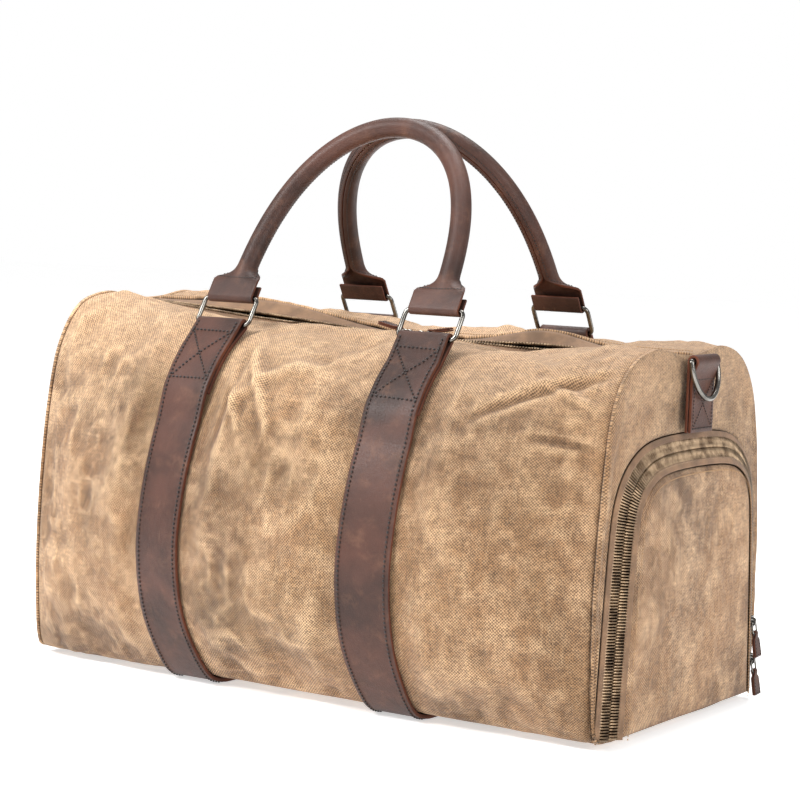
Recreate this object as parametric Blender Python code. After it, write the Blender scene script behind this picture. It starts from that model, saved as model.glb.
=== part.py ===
"""Canvas and leather weekender duffel bag with a shoe compartment.

Frame: metres, +Z up, +X towards the shoe compartment, -Y towards the front.
The origin is on the floor, under the middle of the bag.
"""
import math

import bmesh
import bpy
from mathutils import Matrix, Vector

# ---- driving dimensions, in metres --------------------------------------
BODY_HALF = 0.256            # half length, end seam to end seam
CANVAS = 0.0025              # doubled, waxed canvas
LINING = 0.0006
STRAP_THICK = 0.003
GAP = 0.0003                 # clearance between pieces that touch
STRAP_GAP = 0.0008           # between strap and canvas, whose facets differ a little
CANVAS_BASE_Z = STRAP_THICK + STRAP_GAP

# half sections (out from the middle, up), bottom middle to zip edge
SECTION_MIDDLE = [(0, .0038), (.080, .0038), (.116, .0045), (.138, .016), (.168, .058), (.179, .106),
                  (.173, .154), (.156, .202), (.132, .241), (.101, .266), (.060, .277), (.012, .2730)]
SECTION_END = [(0, .0038), (.080, .0038), (.116, .0045), (.127, .014), (.131, .058), (.131, .108),
               (.128, .156), (.122, .203), (.111, .242), (.088, .268), (.052, .278), (.012, .2730)]
CROWN_POWER = 2.2
SPANS = len(SECTION_MIDDLE) - 1
BOTTOM_T = 2 / SPANS         # section parameter where the bottom panel ends
ROWS_PER_SPAN = 2

STRAP_X = 0.094              # strap centres, left and right of the middle
STRAP_WIDTH = 0.043
STRAP_DOUBLE = (0.68, 0.775) # section parameters where the strap is double and stitched in a box
LOOP_CLEAR = 0.0004          # between a bar and the leather folded round it
COLUMNS = [-.256, -.215, -.165, -.1155, -.0725, -.025, .025, .0725, .1155, .165, .215, .256]

# top zip: level on the right, rising gently to the left of where its sliders meet
ZIP_MEET_X = 0.017
ZIP_Z = 0.2715
ZIP_RISE = 0.062
LIFT_START_Z = 0.15          # the canvas rises with the zip from here up, over this span
LIFT_SPAN = 0.12
END_CREST = 0.0008           # middle of the end panels' top edge, above the zip
ZIP_HALF = 0.245             # chain end stops
TOP_TOOTH = (0.00015, 0.0030)
TOP_TAPE = (0.0033, 0.0117)
STOP_SIZE = (0.0026, 0.0062, 0.0016)
STOP_DROP = 0.0006           # its centre below the chain's face
TOOTH_THICK = 0.0022
TAPE_THICK = 0.0010

# carrying rings and handles
RING_LOWER = Vector((0, -0.104, 0.277))     # lower bar, front side
RING_WIRE = 0.0018
RING_WIDTH = 0.050
RING_HEIGHT = 0.024
RING_CORNER = 0.004
HANDLE_LEAN = math.radians(30)              # both handles lean in and meet
HANDLE_HEIGHT = 0.1598                      # ring bar to apex, along the lean
HANDLE_LEATHER = 0.002
HANDLE_TUBE = 0.0069                        # radius of the rolled strip, mid thickness
HANDLE_POWER = 2.6
FLARE = (0.013, 0.034)                      # heights where the flat strip rolls up
TAB_FOLD = (0.006, 0.0115)                  # heights of the folded tab's bend and sewn end
HANDLE_CORE = 0.0050                        # radius of the rope inside

# end panels and the shoe compartment's door
END_FACE = BODY_HALF + GAP
END_CROWN = 0.0060
TRACK_X = 0.2630             # outer face of the D-shaped zip
TRACK = [(-.117, .014), (-.108, .150), (-.101, .177), (-.084, .195), (-.057, .205), (0, .207),
         (.057, .205), (.084, .195), (.101, .177), (.108, .150), (.117, .014)]
SHOE_TOOTH = (0.00015, 0.0043)
SHOE_TAPE = (0.0046, 0.0085)
SEAM_GAP = 0.0012            # canvas edge to zip tape, whose facets differ a little
TRACK_PROUD = 0.0004         # zip tape above the canvas beside it
DOOR_BOTTOM_Z = 0.009
DOOR_MIDDLE = (0, 0.10)
DOOR_CROWN = 0.007
DOOR_HINGE = Vector((0.266, 0, 0.0089))
SHOE_SLIDER_Z = {"upper": 0.062, "lower": 0.032}

# inside: the main lining, and the shoe pocket as (x, share of its mouth) from the door inwards
LINING_SHRINK = 0.93
LINING_MIDDLE_Z = 0.14
LINING_COLUMNS = (-.246, -.19, -.10, 0, .10, .19, .246)
POCKET_BASE_Z = 0.020
POCKET_MIDDLE_Z = 0.09
POCKET_INSET = 0.020         # mouth inside the zip's centre line
POCKET_RINGS = ((0.252, 1), (0.18, 0.98), (0.10, 0.90), (0.062, 0.80), (0.055, 0.60), (0.054, 0.25))
BOARD_Z = 0.0090
BOARD_SIZE = (0.480, 0.20, 0.002)
BOARD_EDGE = 0.0004

# D-rings
D_BAR = Vector((0.2683, 0, 0.2690))
D_WIRE = 0.002
D_WIDTH = 0.0452
D_HEIGHT = 0.030
D_CORNER = 0.004             # straight part below the bar's ends
D_TILT = 11                  # degrees out at rest, lying on its tab
TAB_WIDTH = 0.036
TAB_THICK = 0.0022
TAB_BOTTOM_Z = 0.217
TAB_MIDDLE_Z = 0.243
TAB_SEWN_Z = 0.258           # its two layers are sewn together up to here

# zip pulls
PULL_WIRE = 0.0007
PULL_RING = (0.009, 0.0066)  # length, width
PULL_CORNER = 0.0012
PULL_NECK = 0.003            # narrow part of the tab, where it folds round the link
PULL_TAB = (0.0185, 0.010, 0.0012)   # length past the link, width, thickness
SLIDER_LENGTH = 0.0095
SLIDER_WIDTH = 0.0078
SLIDER_CLEAR = 0.0003        # above the chain
SLIDER_PLATE = 0.0019        # top of the plate above the chain
HOOK_REACH = 0.0033
HOOK_WALL = 0.0010
HOOK_WIDTH = 0.0026
HOOK_OPEN = 0.0021
TOP_PULL_TILT = 9            # degrees up from the zip at rest
SHOE_PULL_TILT = 8           # degrees out from the end panel at rest
TOP_SLIDER_X = {"left": 0.0115, "right": 0.0225}


# ---- helpers --------------------------------------------------------------
def clear_scene():
    for item in list(bpy.data.objects):
        bpy.data.objects.remove(item, do_unlink=True)


def material(name, colour, roughness, metallic=0.0):
    mat = bpy.data.materials.new(name)
    mat.use_nodes = True
    shader = mat.node_tree.nodes["Principled BSDF"]
    shader.inputs["Base Color"].default_value = (*colour, 1)
    shader.inputs["Roughness"].default_value = roughness
    shader.inputs["Metallic"].default_value = metallic
    mat.diffuse_color = (*colour, 1)
    return mat


def link(name, data, mat):
    thing = bpy.data.objects.new(name, data)
    bpy.context.collection.objects.link(thing)
    data.materials.append(mat)
    return thing


def lerp(a, b, f):
    return a + (b - a) * f


def cubic(a, b, c, d, f):
    """Point on the smooth curve from b to c, whose neighbours are a and d, with f from 0 to 1."""
    return tuple(0.5 * (2 * b[k] + (c[k] - a[k]) * f + (2 * a[k] - 5 * b[k] + 4 * c[k] - d[k]) * f * f
                        + (3 * b[k] - a[k] - 3 * c[k] + d[k]) * f ** 3) for k in (0, 1))


def catmull(points, t):
    """Point on a smooth curve through points, with t from 0 to 1 and flat ends."""
    last = len(points) - 1
    s = min(max(t, 0), 1) * last
    i = min(int(s), last - 1)
    f = s - i
    before = points[i - 1] if i else (-points[1][0], points[1][1])
    beyond = (2 * points[last][0] - points[last - 1][0], points[last - 1][1])
    after = points[i + 2] if i + 2 <= last else beyond
    return cubic(before, points[i], points[i + 1], after, f)


def zip_lift(x):
    return ZIP_RISE * max(0.0, ZIP_MEET_X - x)


def skin(x, t):
    """Outer canvas surface as (out, up) at length x: t = 0 under the middle, 1 at the zip edge."""
    crown = 1 - abs(x / BODY_HALF) ** CROWN_POWER
    middle, end = catmull(SECTION_MIDDLE, t), catmull(SECTION_END, t)
    out, up = lerp(end[0], middle[0], crown), lerp(end[1], middle[1], crown)
    height = min(max((up - LIFT_START_Z) / LIFT_SPAN, 0), 1)
    return out, max(up, CANVAS_BASE_Z) + zip_lift(x) * height ** 2


def skin_normal(x, t):
    step = 0.004
    a, b = skin(x, max(t - step, 0)), skin(x, min(t + step, 1))
    tangent = Vector((b[0] - a[0], b[1] - a[1])).normalized()
    return Vector((tangent[1], -tangent[0]))


def offset_skin(x, t, distance):
    return Vector(skin(x, t)) + skin_normal(x, t) * distance


def sheet(name, grid, mat, thick, wrap=False, smooth=True, even_wall=True):
    """A grid of points made into a sheet and thickened along its normals, away from its front."""
    mesh = bpy.data.meshes.new(name)
    build = bmesh.new()
    rows = [[build.verts.new(point) for point in row] for row in grid]
    width = len(rows[0])
    for lower, upper in zip(rows, rows[1:]):
        for i in range(width if wrap else width - 1):
            j = (i + 1) % width
            build.faces.new((lower[i], lower[j], upper[j], upper[i]))
    build.to_mesh(mesh)
    build.free()
    if smooth:
        mesh.shade_smooth()
    thing = link(name, mesh, mat)
    wall = thing.modifiers.new("thickness", "SOLIDIFY")
    wall.thickness = thick
    wall.offset = -1
    wall.use_even_offset = even_wall
    return thing


def box(name, centre, size, mat, bevel=0.0):
    mesh = bpy.data.meshes.new(name)
    build = bmesh.new()
    bmesh.ops.create_cube(build, size=1)
    bmesh.ops.scale(build, vec=size, verts=build.verts)
    build.to_mesh(mesh)
    build.free()
    thing = link(name, mesh, mat)
    thing.location = centre
    if bevel:
        edge = thing.modifiers.new("edges", "BEVEL")
        edge.width = bevel
        edge.segments = 1
    return thing


def wire(name, points, radius, mat, closed=True, sides=2):
    """A bent round wire or rope through the given points."""
    curve = bpy.data.curves.new(name, "CURVE")
    curve.dimensions = "3D"
    curve.bevel_depth = radius
    curve.bevel_resolution = sides
    curve.use_fill_caps = True
    spline = curve.splines.new("POLY")
    spline.points.add(len(points) - 1)
    for target, point in zip(spline.points, points):
        target.co = (*point, 1)
    spline.use_cyclic_u = closed
    return link(name, curve, mat)


def arc(centre, radius, start, stop, steps):
    """Points (a, b) on an arc, with angles in degrees."""
    angles = [math.radians(lerp(start, stop, k / steps)) for k in range(steps + 1)]
    return [(centre[0] + radius * math.cos(a), centre[1] + radius * math.sin(a)) for a in angles]


def rounded_rectangle(width, height, corner, steps=3):
    """Closed outline (a, b), starting at the lower left, with the lower side on b = 0."""
    points = []
    for sign_a, sign_b, start in ((1, 0, -90), (1, 1, 0), (-1, 1, 90), (-1, 0, 180)):
        centre = (sign_a * (width / 2 - corner), corner if sign_b == 0 else height - corner)
        points += arc(centre, corner, start, start + 90, steps)
    return points


def even(points, count):
    """Resample a planar polyline to count + 1 points at even distances."""
    lengths = [0.0]
    for a, b in zip(points, points[1:]):
        lengths.append(lengths[-1] + math.dist(a, b))
    result, i = [], 0
    for k in range(count + 1):
        goal = lengths[-1] * k / count
        while i < len(points) - 2 and lengths[i + 1] < goal:
            i += 1
        f = (goal - lengths[i]) / (lengths[i + 1] - lengths[i])
        result.append(tuple(lerp(points[i][n], points[i + 1][n], f) for n in (0, 1)))
    return result


def offset_line(points, distance):
    """Offset a planar polyline to its left by distance."""
    result = []
    for i, (a, b) in enumerate(points):
        before, after = points[max(i - 1, 0)], points[min(i + 1, len(points) - 1)]
        along = Vector((after[0] - before[0], after[1] - before[1])).normalized()
        result.append((a - along[1] * distance, b + along[0] * distance))
    return result


# ---- body panels -------------------------------------------------------------
def section_rows(start, stop):
    count = round((stop - start) * SPANS * ROWS_PER_SPAN)
    return [lerp(start, stop, k / count) for k in range(count + 1)]


def side_panel(name, side, mat):
    """Front (side = -1) or back (side = 1) panel, bottom edge to zip edge."""
    grid = []
    for t in section_rows(BOTTOM_T, 1):
        row = []
        for x in COLUMNS:
            out, up = skin(x, t)
            row.append((x, side * out, up))
        grid.append(row if side < 0 else row[::-1])
    return sheet(name, grid, mat, CANVAS)


def bottom_panel(mat):
    edge = BOTTOM_T - 0.005
    half = section_rows(0, BOTTOM_T)[:-1] + [edge]
    grid = []
    for t, side in [(t, 1) for t in half[::-1]] + [(t, -1) for t in half[1:]]:
        grid.append([(x, side * skin(x, t)[0], skin(x, t)[1]) for x in COLUMNS])
    return sheet("bottom_panel", grid, mat, CANVAS)


def end_outline(end):
    """Closed outline (y, z) of the body's section at one end, front bottom corner first."""
    x = end * BODY_HALF
    upper = [skin(x, t) for t in section_rows(BOTTOM_T, 1)]
    crest = (0, ZIP_Z + END_CREST + zip_lift(x))
    lower = [skin(x, t) for t in section_rows(0, BOTTOM_T)[:-1]]
    ring = [(-a, b) for a, b in upper] + [crest] + upper[::-1]
    return ring + lower[::-1] + [(-a, b) for a, b in lower[1:]]


def dome(name, outline, centre, face, rise, sign, mat, thick, rings=(1, 0.72, 0.4, 0.12)):
    """A cap over an outline: rings shrinking to the centre, crowned outwards along X."""
    mesh = bpy.data.meshes.new(name)
    build = bmesh.new()
    loops = []
    for level in (0, 1):
        for r in rings:
            x = sign * (face + rise * (1 - r * r) - thick * level)
            loops.append([build.verts.new((x, lerp(centre[0], y, r), lerp(centre[1], z, r)))
                          for y, z in outline])
    count, depth = len(outline), len(rings)
    order = list(range(depth)) + list(range(2 * depth - 1, depth - 1, -1))
    for a, b in zip(order, order[1:]):
        if (a, b) == (depth - 1, 2 * depth - 1):
            continue
        for i in range(count):
            j = (i + 1) % count
            build.faces.new((loops[a][i], loops[a][j], loops[b][j], loops[b][i]))
    for i in range(count):
        j = (i + 1) % count
        build.faces.new((loops[depth][i], loops[depth][j], loops[0][j], loops[0][i]))
    build.faces.new(loops[depth - 1])
    build.faces.new(loops[2 * depth - 1])
    bmesh.ops.recalc_face_normals(build, faces=build.faces)
    build.to_mesh(mesh)
    build.free()
    mesh.shade_smooth()
    return link(name, mesh, mat)


def track_line(distance, count=26):
    """The D-shaped zip's centre line offset outwards by distance."""
    smooth = []
    for k in range(len(TRACK) - 1):
        a, b = TRACK[k], TRACK[k + 1]
        before, after = TRACK[max(k - 1, 0)], TRACK[min(k + 2, len(TRACK) - 1)]
        straight = k in (0, len(TRACK) - 2)
        for step in range(6):
            f = step / 6
            if straight:
                smooth.append((lerp(a[0], b[0], f), lerp(a[1], b[1], f)))
                continue
            smooth.append(cubic(before, a, b, after, f))
    smooth.append(TRACK[-1])
    return offset_line(even(smooth, count), distance)


def right_end_panel(mat):
    """The end panel around the door: a closed ring with a D-shaped hole."""
    around, across = 40, 8       # steps over the arch and along the sill
    arch = track_line(SHOE_TAPE[1] + SEAM_GAP, around - 2)
    sill = DOOR_BOTTOM_Z - SEAM_GAP
    arch = [(arch[0][0], sill)] + arch + [(arch[-1][0], sill)]
    hole = arch + even([arch[-1], arch[0]], across)[1:-1]
    outline = end_outline(1)
    back_foot = 2 * len(section_rows(BOTTOM_T, 1))
    outer = even(outline[:back_foot + 1], around)
    outer += even(outline[back_foot:] + outline[:1], across)[1:-1]
    mesh = bpy.data.meshes.new("right_end_panel")
    build = bmesh.new()
    loops = []
    for level in (0, CANVAS):
        for f in (0, 0.5, 1):
            x = lerp(END_FACE + CANVAS, TRACK_X - TRACK_PROUD, f) - level
            loops.append([build.verts.new((x, lerp(a[0], b[0], f), lerp(a[1], b[1], f)))
                          for a, b in zip(outer, hole)])
    for a, b in ((0, 1), (1, 2), (2, 5), (5, 4), (4, 3), (3, 0)):
        for i in range(len(hole)):
            j = (i + 1) % len(hole)
            build.faces.new((loops[a][i], loops[a][j], loops[b][j], loops[b][i]))
    bmesh.ops.recalc_face_normals(build, faces=build.faces)
    build.to_mesh(mesh)
    build.free()
    mesh.shade_smooth()
    return link("right_end_panel", mesh, mat)


def door_panel(mat):
    edge = track_line(-SHOE_TAPE[1] - SEAM_GAP, 30)
    outline = [(edge[0][0], DOOR_BOTTOM_Z)] + edge + [(edge[-1][0], DOOR_BOTTOM_Z)]
    return dome("shoe_door_panel", outline, DOOR_MIDDLE, TRACK_X - TRACK_PROUD, DOOR_CROWN, 1, mat, CANVAS)


def track_strip(name, inner, outer, thick, mat):
    a, b = track_line(inner), track_line(outer)
    grid = [[(TRACK_X, *p), (TRACK_X, *q)] for p, q in zip(a, b)]
    if inner < outer:
        grid = [row[::-1] for row in grid]
    return sheet(name, grid, mat, thick, smooth=False)


# ---- inside ---------------------------------------------------------------
def main_lining(mat):
    """A loose lining sewn in at the end seams and the zip, open along the top and at the shoe end."""
    centre = Vector((0, LINING_MIDDLE_Z))
    rows = section_rows(BOTTOM_T / 2, 1)[1::2]
    line = [(side, t) for side, ts in ((-1, rows[::-1]), (1, rows)) for t in ts]
    grid = []
    for side, t in line:
        row = []
        for x in LINING_COLUMNS:
            point = centre + (Vector(skin(x, t)) - centre) * LINING_SHRINK
            row.append((x, side * point[0], point[1]))
        grid.append(row[::-1])
    return sheet("main_lining", grid, mat, LINING, even_wall=False)


def shoe_pocket(mat):
    """The shoe compartment's own pocket, open to the door and closed at its far end."""
    edge = [p for p in track_line(-POCKET_INSET, 20) if p[1] > POCKET_BASE_Z + 0.005]
    ring = [(edge[0][0], POCKET_BASE_Z)] + edge + [(edge[-1][0], POCKET_BASE_Z)]
    grid = [[(x, y * r, lerp(POCKET_MIDDLE_Z, z, r)) for y, z in ring] for x, r in POCKET_RINGS]
    pocket = sheet("shoe_pocket_lining", grid, mat, LINING, wrap=True, even_wall=False)
    build = bmesh.new()
    build.from_mesh(pocket.data)
    border = [e for e in build.edges if e.is_boundary and e.verts[0].co.x < POCKET_RINGS[1][0]]
    bmesh.ops.edgeloop_fill(build, edges=border)
    bmesh.ops.recalc_face_normals(build, faces=build.faces)
    build.to_mesh(pocket.data)
    build.free()
    return pocket


# ---- straps, rings and handles ---------------------------------------------------
def strap(name, centre_x, mat):
    """One leather strap: ring loop, front, under the bag, back, ring loop."""
    rows = section_rows(0, 1)
    under = [t for t in rows if STRAP_DOUBLE[0] <= t <= STRAP_DOUBLE[1]]
    single = [t for t in rows if t < STRAP_DOUBLE[0]]
    bar = Vector((-RING_LOWER.y, RING_LOWER.z))
    inner_radius = RING_WIRE + LOOP_CLEAR
    columns = []
    for x in (centre_x - STRAP_WIDTH / 2, centre_x + STRAP_WIDTH / 2):
        half = [offset_skin(x, t, STRAP_GAP) for t in under]
        leave = offset_skin(x, under[-1], STRAP_THICK + STRAP_GAP)
        rise = (bar - leave).normalized()
        outward = Vector((rise[1], -rise[0]))
        # the sheet's front follows the loop's inner face, and the leather is added outside it
        half_inner = [p + skin_normal(x, t) * STRAP_THICK for p, t in zip(half, under)]
        loop = [bar + (math.cos(a) * outward + math.sin(a) * rise) * inner_radius
                for a in (math.radians(d) for d in range(180, -1, -30))]
        over = [offset_skin(x, t, STRAP_THICK + 2 * STRAP_GAP) for t in under[::-1]]
        main = [offset_skin(x, t, STRAP_GAP) for t in single[::-1]]
        path = half_inner + loop + over + main
        columns.append([Vector((x, -p[0], p[1])) for p in path])
    front = list(zip(*columns))
    back = [tuple(Vector((p.x, -p.y, p.z)) for p in row) for row in front[-2::-1]]
    grid = [list(row) for row in front + back]
    return sheet(name, grid, mat, STRAP_THICK, even_wall=False)


def handle_frame(side):
    """Origin on the ring's upper bar, with the directions up the handle and outwards from the bag."""
    up = Vector((0, -side * math.sin(HANDLE_LEAN), math.cos(HANDLE_LEAN)))
    outward = Vector((0, side * math.cos(HANDLE_LEAN), math.sin(HANDLE_LEAN)))
    lower = Vector((0, -side * RING_LOWER.y, RING_LOWER.z))
    return lower, lower + up * RING_HEIGHT, up, outward


def ring(name, x, side, mat):
    lower, _, up, _ = handle_frame(side)
    outline = rounded_rectangle(RING_WIDTH, RING_HEIGHT, RING_CORNER)
    hinge = bpy.data.objects.new(name + "_axis", None)
    hinge.location = lower + Vector((x, 0, 0))
    bpy.context.collection.objects.link(hinge)
    thing = wire(name, [Vector((a, 0, 0)) + up * b for a, b in outline], RING_WIRE, mat, sides=1)
    thing.parent = hinge
    return thing


def handle_arch(count):
    """Centre line of the strip's arch as (x, height), one leg to the other."""
    points = []
    for k in range(181):
        a = math.radians(-90 + k)
        points.append((STRAP_X * math.sin(a), HANDLE_HEIGHT * max(math.cos(a), 0) ** (2 / HANDLE_POWER)))
    points = [p for p in points if p[1] >= FLARE[0]]
    return even(points, count)


def handle(name, side, mat):
    """Leather strip: folded round the ring bar, flat tab, then rolled into a tube over its core."""
    _, top, up, outward = handle_frame(side)
    half_width = STRAP_WIDTH / 2
    stations = [lerp(-half_width, half_width, k / 10) for k in range(11)]
    loop_radius = RING_WIRE + LOOP_CLEAR
    inner_face = HANDLE_TUBE - HANDLE_LEATHER / 2

    def tab_rows(x):
        """Rows across the tab, from its sewn end, round the ring bar and up."""
        path = [(TAB_FOLD[1], -loop_radius), (TAB_FOLD[0], -loop_radius)]
        path += [(-loop_radius * math.cos(a), loop_radius * math.sin(a))
                 for a in (math.radians(d) for d in range(-90, 91, 30))]
        path += [(TAB_FOLD[0], loop_radius)]
        return [[top + Vector((x - s, 0, 0)) + up * height + outward * out for s in stations]
                for height, out in path]

    arch = handle_arch(20)
    rows = tab_rows(-STRAP_X)
    for i, (x, height) in enumerate(arch):
        before, after = arch[max(i - 1, 0)], arch[min(i + 1, len(arch) - 1)]
        along = Vector((after[0] - before[0], after[1] - before[1])).normalized()
        across = Vector((-along[1], 0, 0)) + up * along[0]
        rolled = min(max((height - FLARE[0]) / (FLARE[1] - FLARE[0]), 0), 1)
        rolled = rolled * rolled * (3 - 2 * rolled)
        curl = max(rolled, 1e-3) * 0.994 * math.pi / half_width
        radius = 1 / curl
        row = []
        for s in stations:
            shrink = 1 - rolled * (1 - inner_face * curl)
            sideways = math.sin(s * curl) * radius * shrink
            inward = (1 - math.cos(s * curl)) * radius * shrink
            row.append(top + Vector((x, 0, 0)) + up * height + across * sideways
                       + outward * (loop_radius - inward))
        rows.append(row)
    rows += [row[::-1] for row in tab_rows(STRAP_X)[::-1]]
    if side > 0:
        rows = [row[::-1] for row in rows]
    return sheet(name, rows, mat, HANDLE_LEATHER, even_wall=False)


def handle_core(name, side, mat):
    _, top, up, outward = handle_frame(side)
    depth = HANDLE_TUBE - HANDLE_LEATHER / 2 - (RING_WIRE + LOOP_CLEAR)
    points = [p for p in handle_arch(22) if p[1] > FLARE[1] + 0.006]
    line = [top + Vector((x, 0, 0)) + up * h - outward * depth for x, h in points]
    return wire(name, line, HANDLE_CORE, mat, closed=False, sides=2)


# ---- D-rings ---------------------------------------------------------------
def d_tab(name, end, mat):
    """Folded leather tab sewn to an end panel, with the D-ring's bar in its fold."""
    radius = D_WIRE + LOOP_CLEAR
    back, front, sewn = D_BAR.x - radius, D_BAR.x + radius, D_BAR.x - radius + 2 * GAP
    path = [(back, TAB_BOTTOM_Z), (back, TAB_MIDDLE_Z), (back, D_BAR.z)]
    path += arc((D_BAR.x, D_BAR.z), radius, 180, 0, 6)[1:-1]
    path += [(front, D_BAR.z), (sewn, TAB_SEWN_Z), (sewn, TAB_MIDDLE_Z), (sewn, TAB_BOTTOM_Z)]
    half = TAB_WIDTH / 2
    grid = [[(end * x, -half, z), (end * x, half, z)] for x, z in path]
    if end < 0:
        grid = [row[::-1] for row in grid]
    return sheet(name, grid, mat, TAB_THICK, even_wall=False)


def d_ring(name, end, mat):
    half = D_WIDTH / 2 - D_WIRE
    drop = D_HEIGHT - D_WIRE
    points = [(-half, 0), (-half / 2, 0), (half / 2, 0), (half, 0)]
    points += [(half * math.cos(a), -D_CORNER - (drop - D_CORNER) * math.sin(a))
               for a in (math.radians(d) for d in range(0, 181, 18))]
    hinge = bpy.data.objects.new(name + "_axis", None)
    hinge.location = (end * D_BAR.x, 0, D_BAR.z)
    hinge.rotation_euler = (0, -end * math.radians(D_TILT), 0)
    bpy.context.collection.objects.link(hinge)
    thing = wire(name, [(0, a, b) for a, b in points], D_WIRE, mat, sides=1)
    thing.parent = hinge
    return thing


# ---- zips ---------------------------------------------------------------
def top_strip(name, side, span, thick, mat, half_length):
    near, far = span
    grid = []
    for x in (-half_length, ZIP_MEET_X, half_length):
        z = ZIP_Z + zip_lift(x)
        row = [(x, side * near, z), (x, side * far, z)]
        grid.append(row[::-1] if side > 0 else row)
    return sheet(name, grid, mat, thick, smooth=False)


def extruded(name, outline, width):
    """A mesh from an outline (x, z) drawn across Y, from -width / 2 to width / 2."""
    mesh = bpy.data.meshes.new(name)
    build = bmesh.new()
    face = build.faces.new([build.verts.new((x, -width / 2, z)) for x, z in outline])
    grown = bmesh.ops.extrude_face_region(build, geom=[face])
    moved = [v for v in grown["geom"] if isinstance(v, bmesh.types.BMVert)]
    bmesh.ops.translate(build, verts=moved, vec=(0, width, 0))
    bmesh.ops.recalc_face_normals(build, faces=build.faces)
    build.to_mesh(mesh)
    build.free()
    return mesh


def slider(name, axis, mat):
    """Zip slider on its axis empty: a plate over the chain with an open hook for its pull."""
    half, plate = SLIDER_LENGTH / 2, SLIDER_PLATE
    arm = plate + HOOK_OPEN
    body = [(-half, SLIDER_CLEAR), (half, SLIDER_CLEAR), (half, plate), (-half, plate)]
    root = plate - HOOK_WALL / 2
    hook = [(-HOOK_REACH, root), (HOOK_WALL - HOOK_REACH, root),
            (HOOK_WALL - HOOK_REACH, arm), (HOOK_REACH - HOOK_WALL, arm),
            (HOOK_REACH - HOOK_WALL, plate + GAP), (HOOK_REACH, plate + GAP),
            (HOOK_REACH, arm + HOOK_WALL), (-HOOK_REACH, arm + HOOK_WALL)]
    thing = link(name, extruded(name, body, SLIDER_WIDTH), mat)
    thing.parent = axis
    tool = bpy.data.objects.new(name + "_hook", extruded(name + "_hook", hook, HOOK_WIDTH))
    bpy.context.collection.objects.link(tool)
    tool.parent = axis
    tool.hide_render = True
    tool.display_type = "WIRE"
    union = thing.modifiers.new("hook", "BOOLEAN")
    union.operation = "UNION"
    union.object = tool
    return thing


def pull(name, axis, metal, leather):
    """Pull on its axis empty, local +X running out: a wire link and a folded leather tab."""
    length, width = PULL_RING
    outline = [(b, a) for a, b in rounded_rectangle(width, length, PULL_CORNER, 2)]
    ring_part = wire(name + "_link", [(x, y, 0) for x, y in outline], PULL_WIRE, metal, sides=1)
    reach, tab_width, thick = PULL_TAB
    loop_radius = PULL_WIRE + GAP
    path = [(length + reach, -GAP / 2), (length + PULL_NECK, -GAP / 2)]
    path += arc((length, 0), loop_radius, 290, 70, 6)
    path += [(length + PULL_NECK, GAP / 2), (length + reach, GAP / 2)]
    narrow = width - 2 * PULL_CORNER - 2 * GAP
    grid = []
    for i, (x, z) in enumerate(path):
        half = (tab_width if i in (0, 1, len(path) - 2, len(path) - 1) else narrow) / 2
        grid.append([(x, -half, z), (x, half, z)])
    tab = sheet(name + "_tab", grid, leather, thick)
    for part in (ring_part, tab):
        part.parent = axis


def axis_empty(name, place, along, normal):
    """An empty whose local X runs along and whose local Z is the normal."""
    along, normal = Vector(along).normalized(), Vector(normal).normalized()
    side = normal.cross(along)
    turn = Matrix((along, side, normal)).transposed()
    thing = bpy.data.objects.new(name, None)
    bpy.context.collection.objects.link(thing)
    thing.matrix_world = Matrix.Translation(place) @ turn.to_4x4()
    return thing


def slider_and_pull(name, place, along, normal, tilt, metal, leather):
    """A slider on the chain's face at place; its pull is turned up from the plate by tilt degrees."""
    base = axis_empty(name + "_slider_axis", place, along, normal)
    slider(name + "_slider", base, metal)
    along, normal = Vector(along).normalized(), Vector(normal).normalized()
    pivot = Vector(place) + normal * (SLIDER_PLATE + HOOK_OPEN / 2 + GAP / 4)
    lean = math.radians(tilt)
    out = along * math.cos(lean) + normal * math.sin(lean)
    up = normal * math.cos(lean) - along * math.sin(lean)
    pull(name + "_pull", axis_empty(name + "_pull_axis", pivot, out, up), metal, leather)


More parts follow.
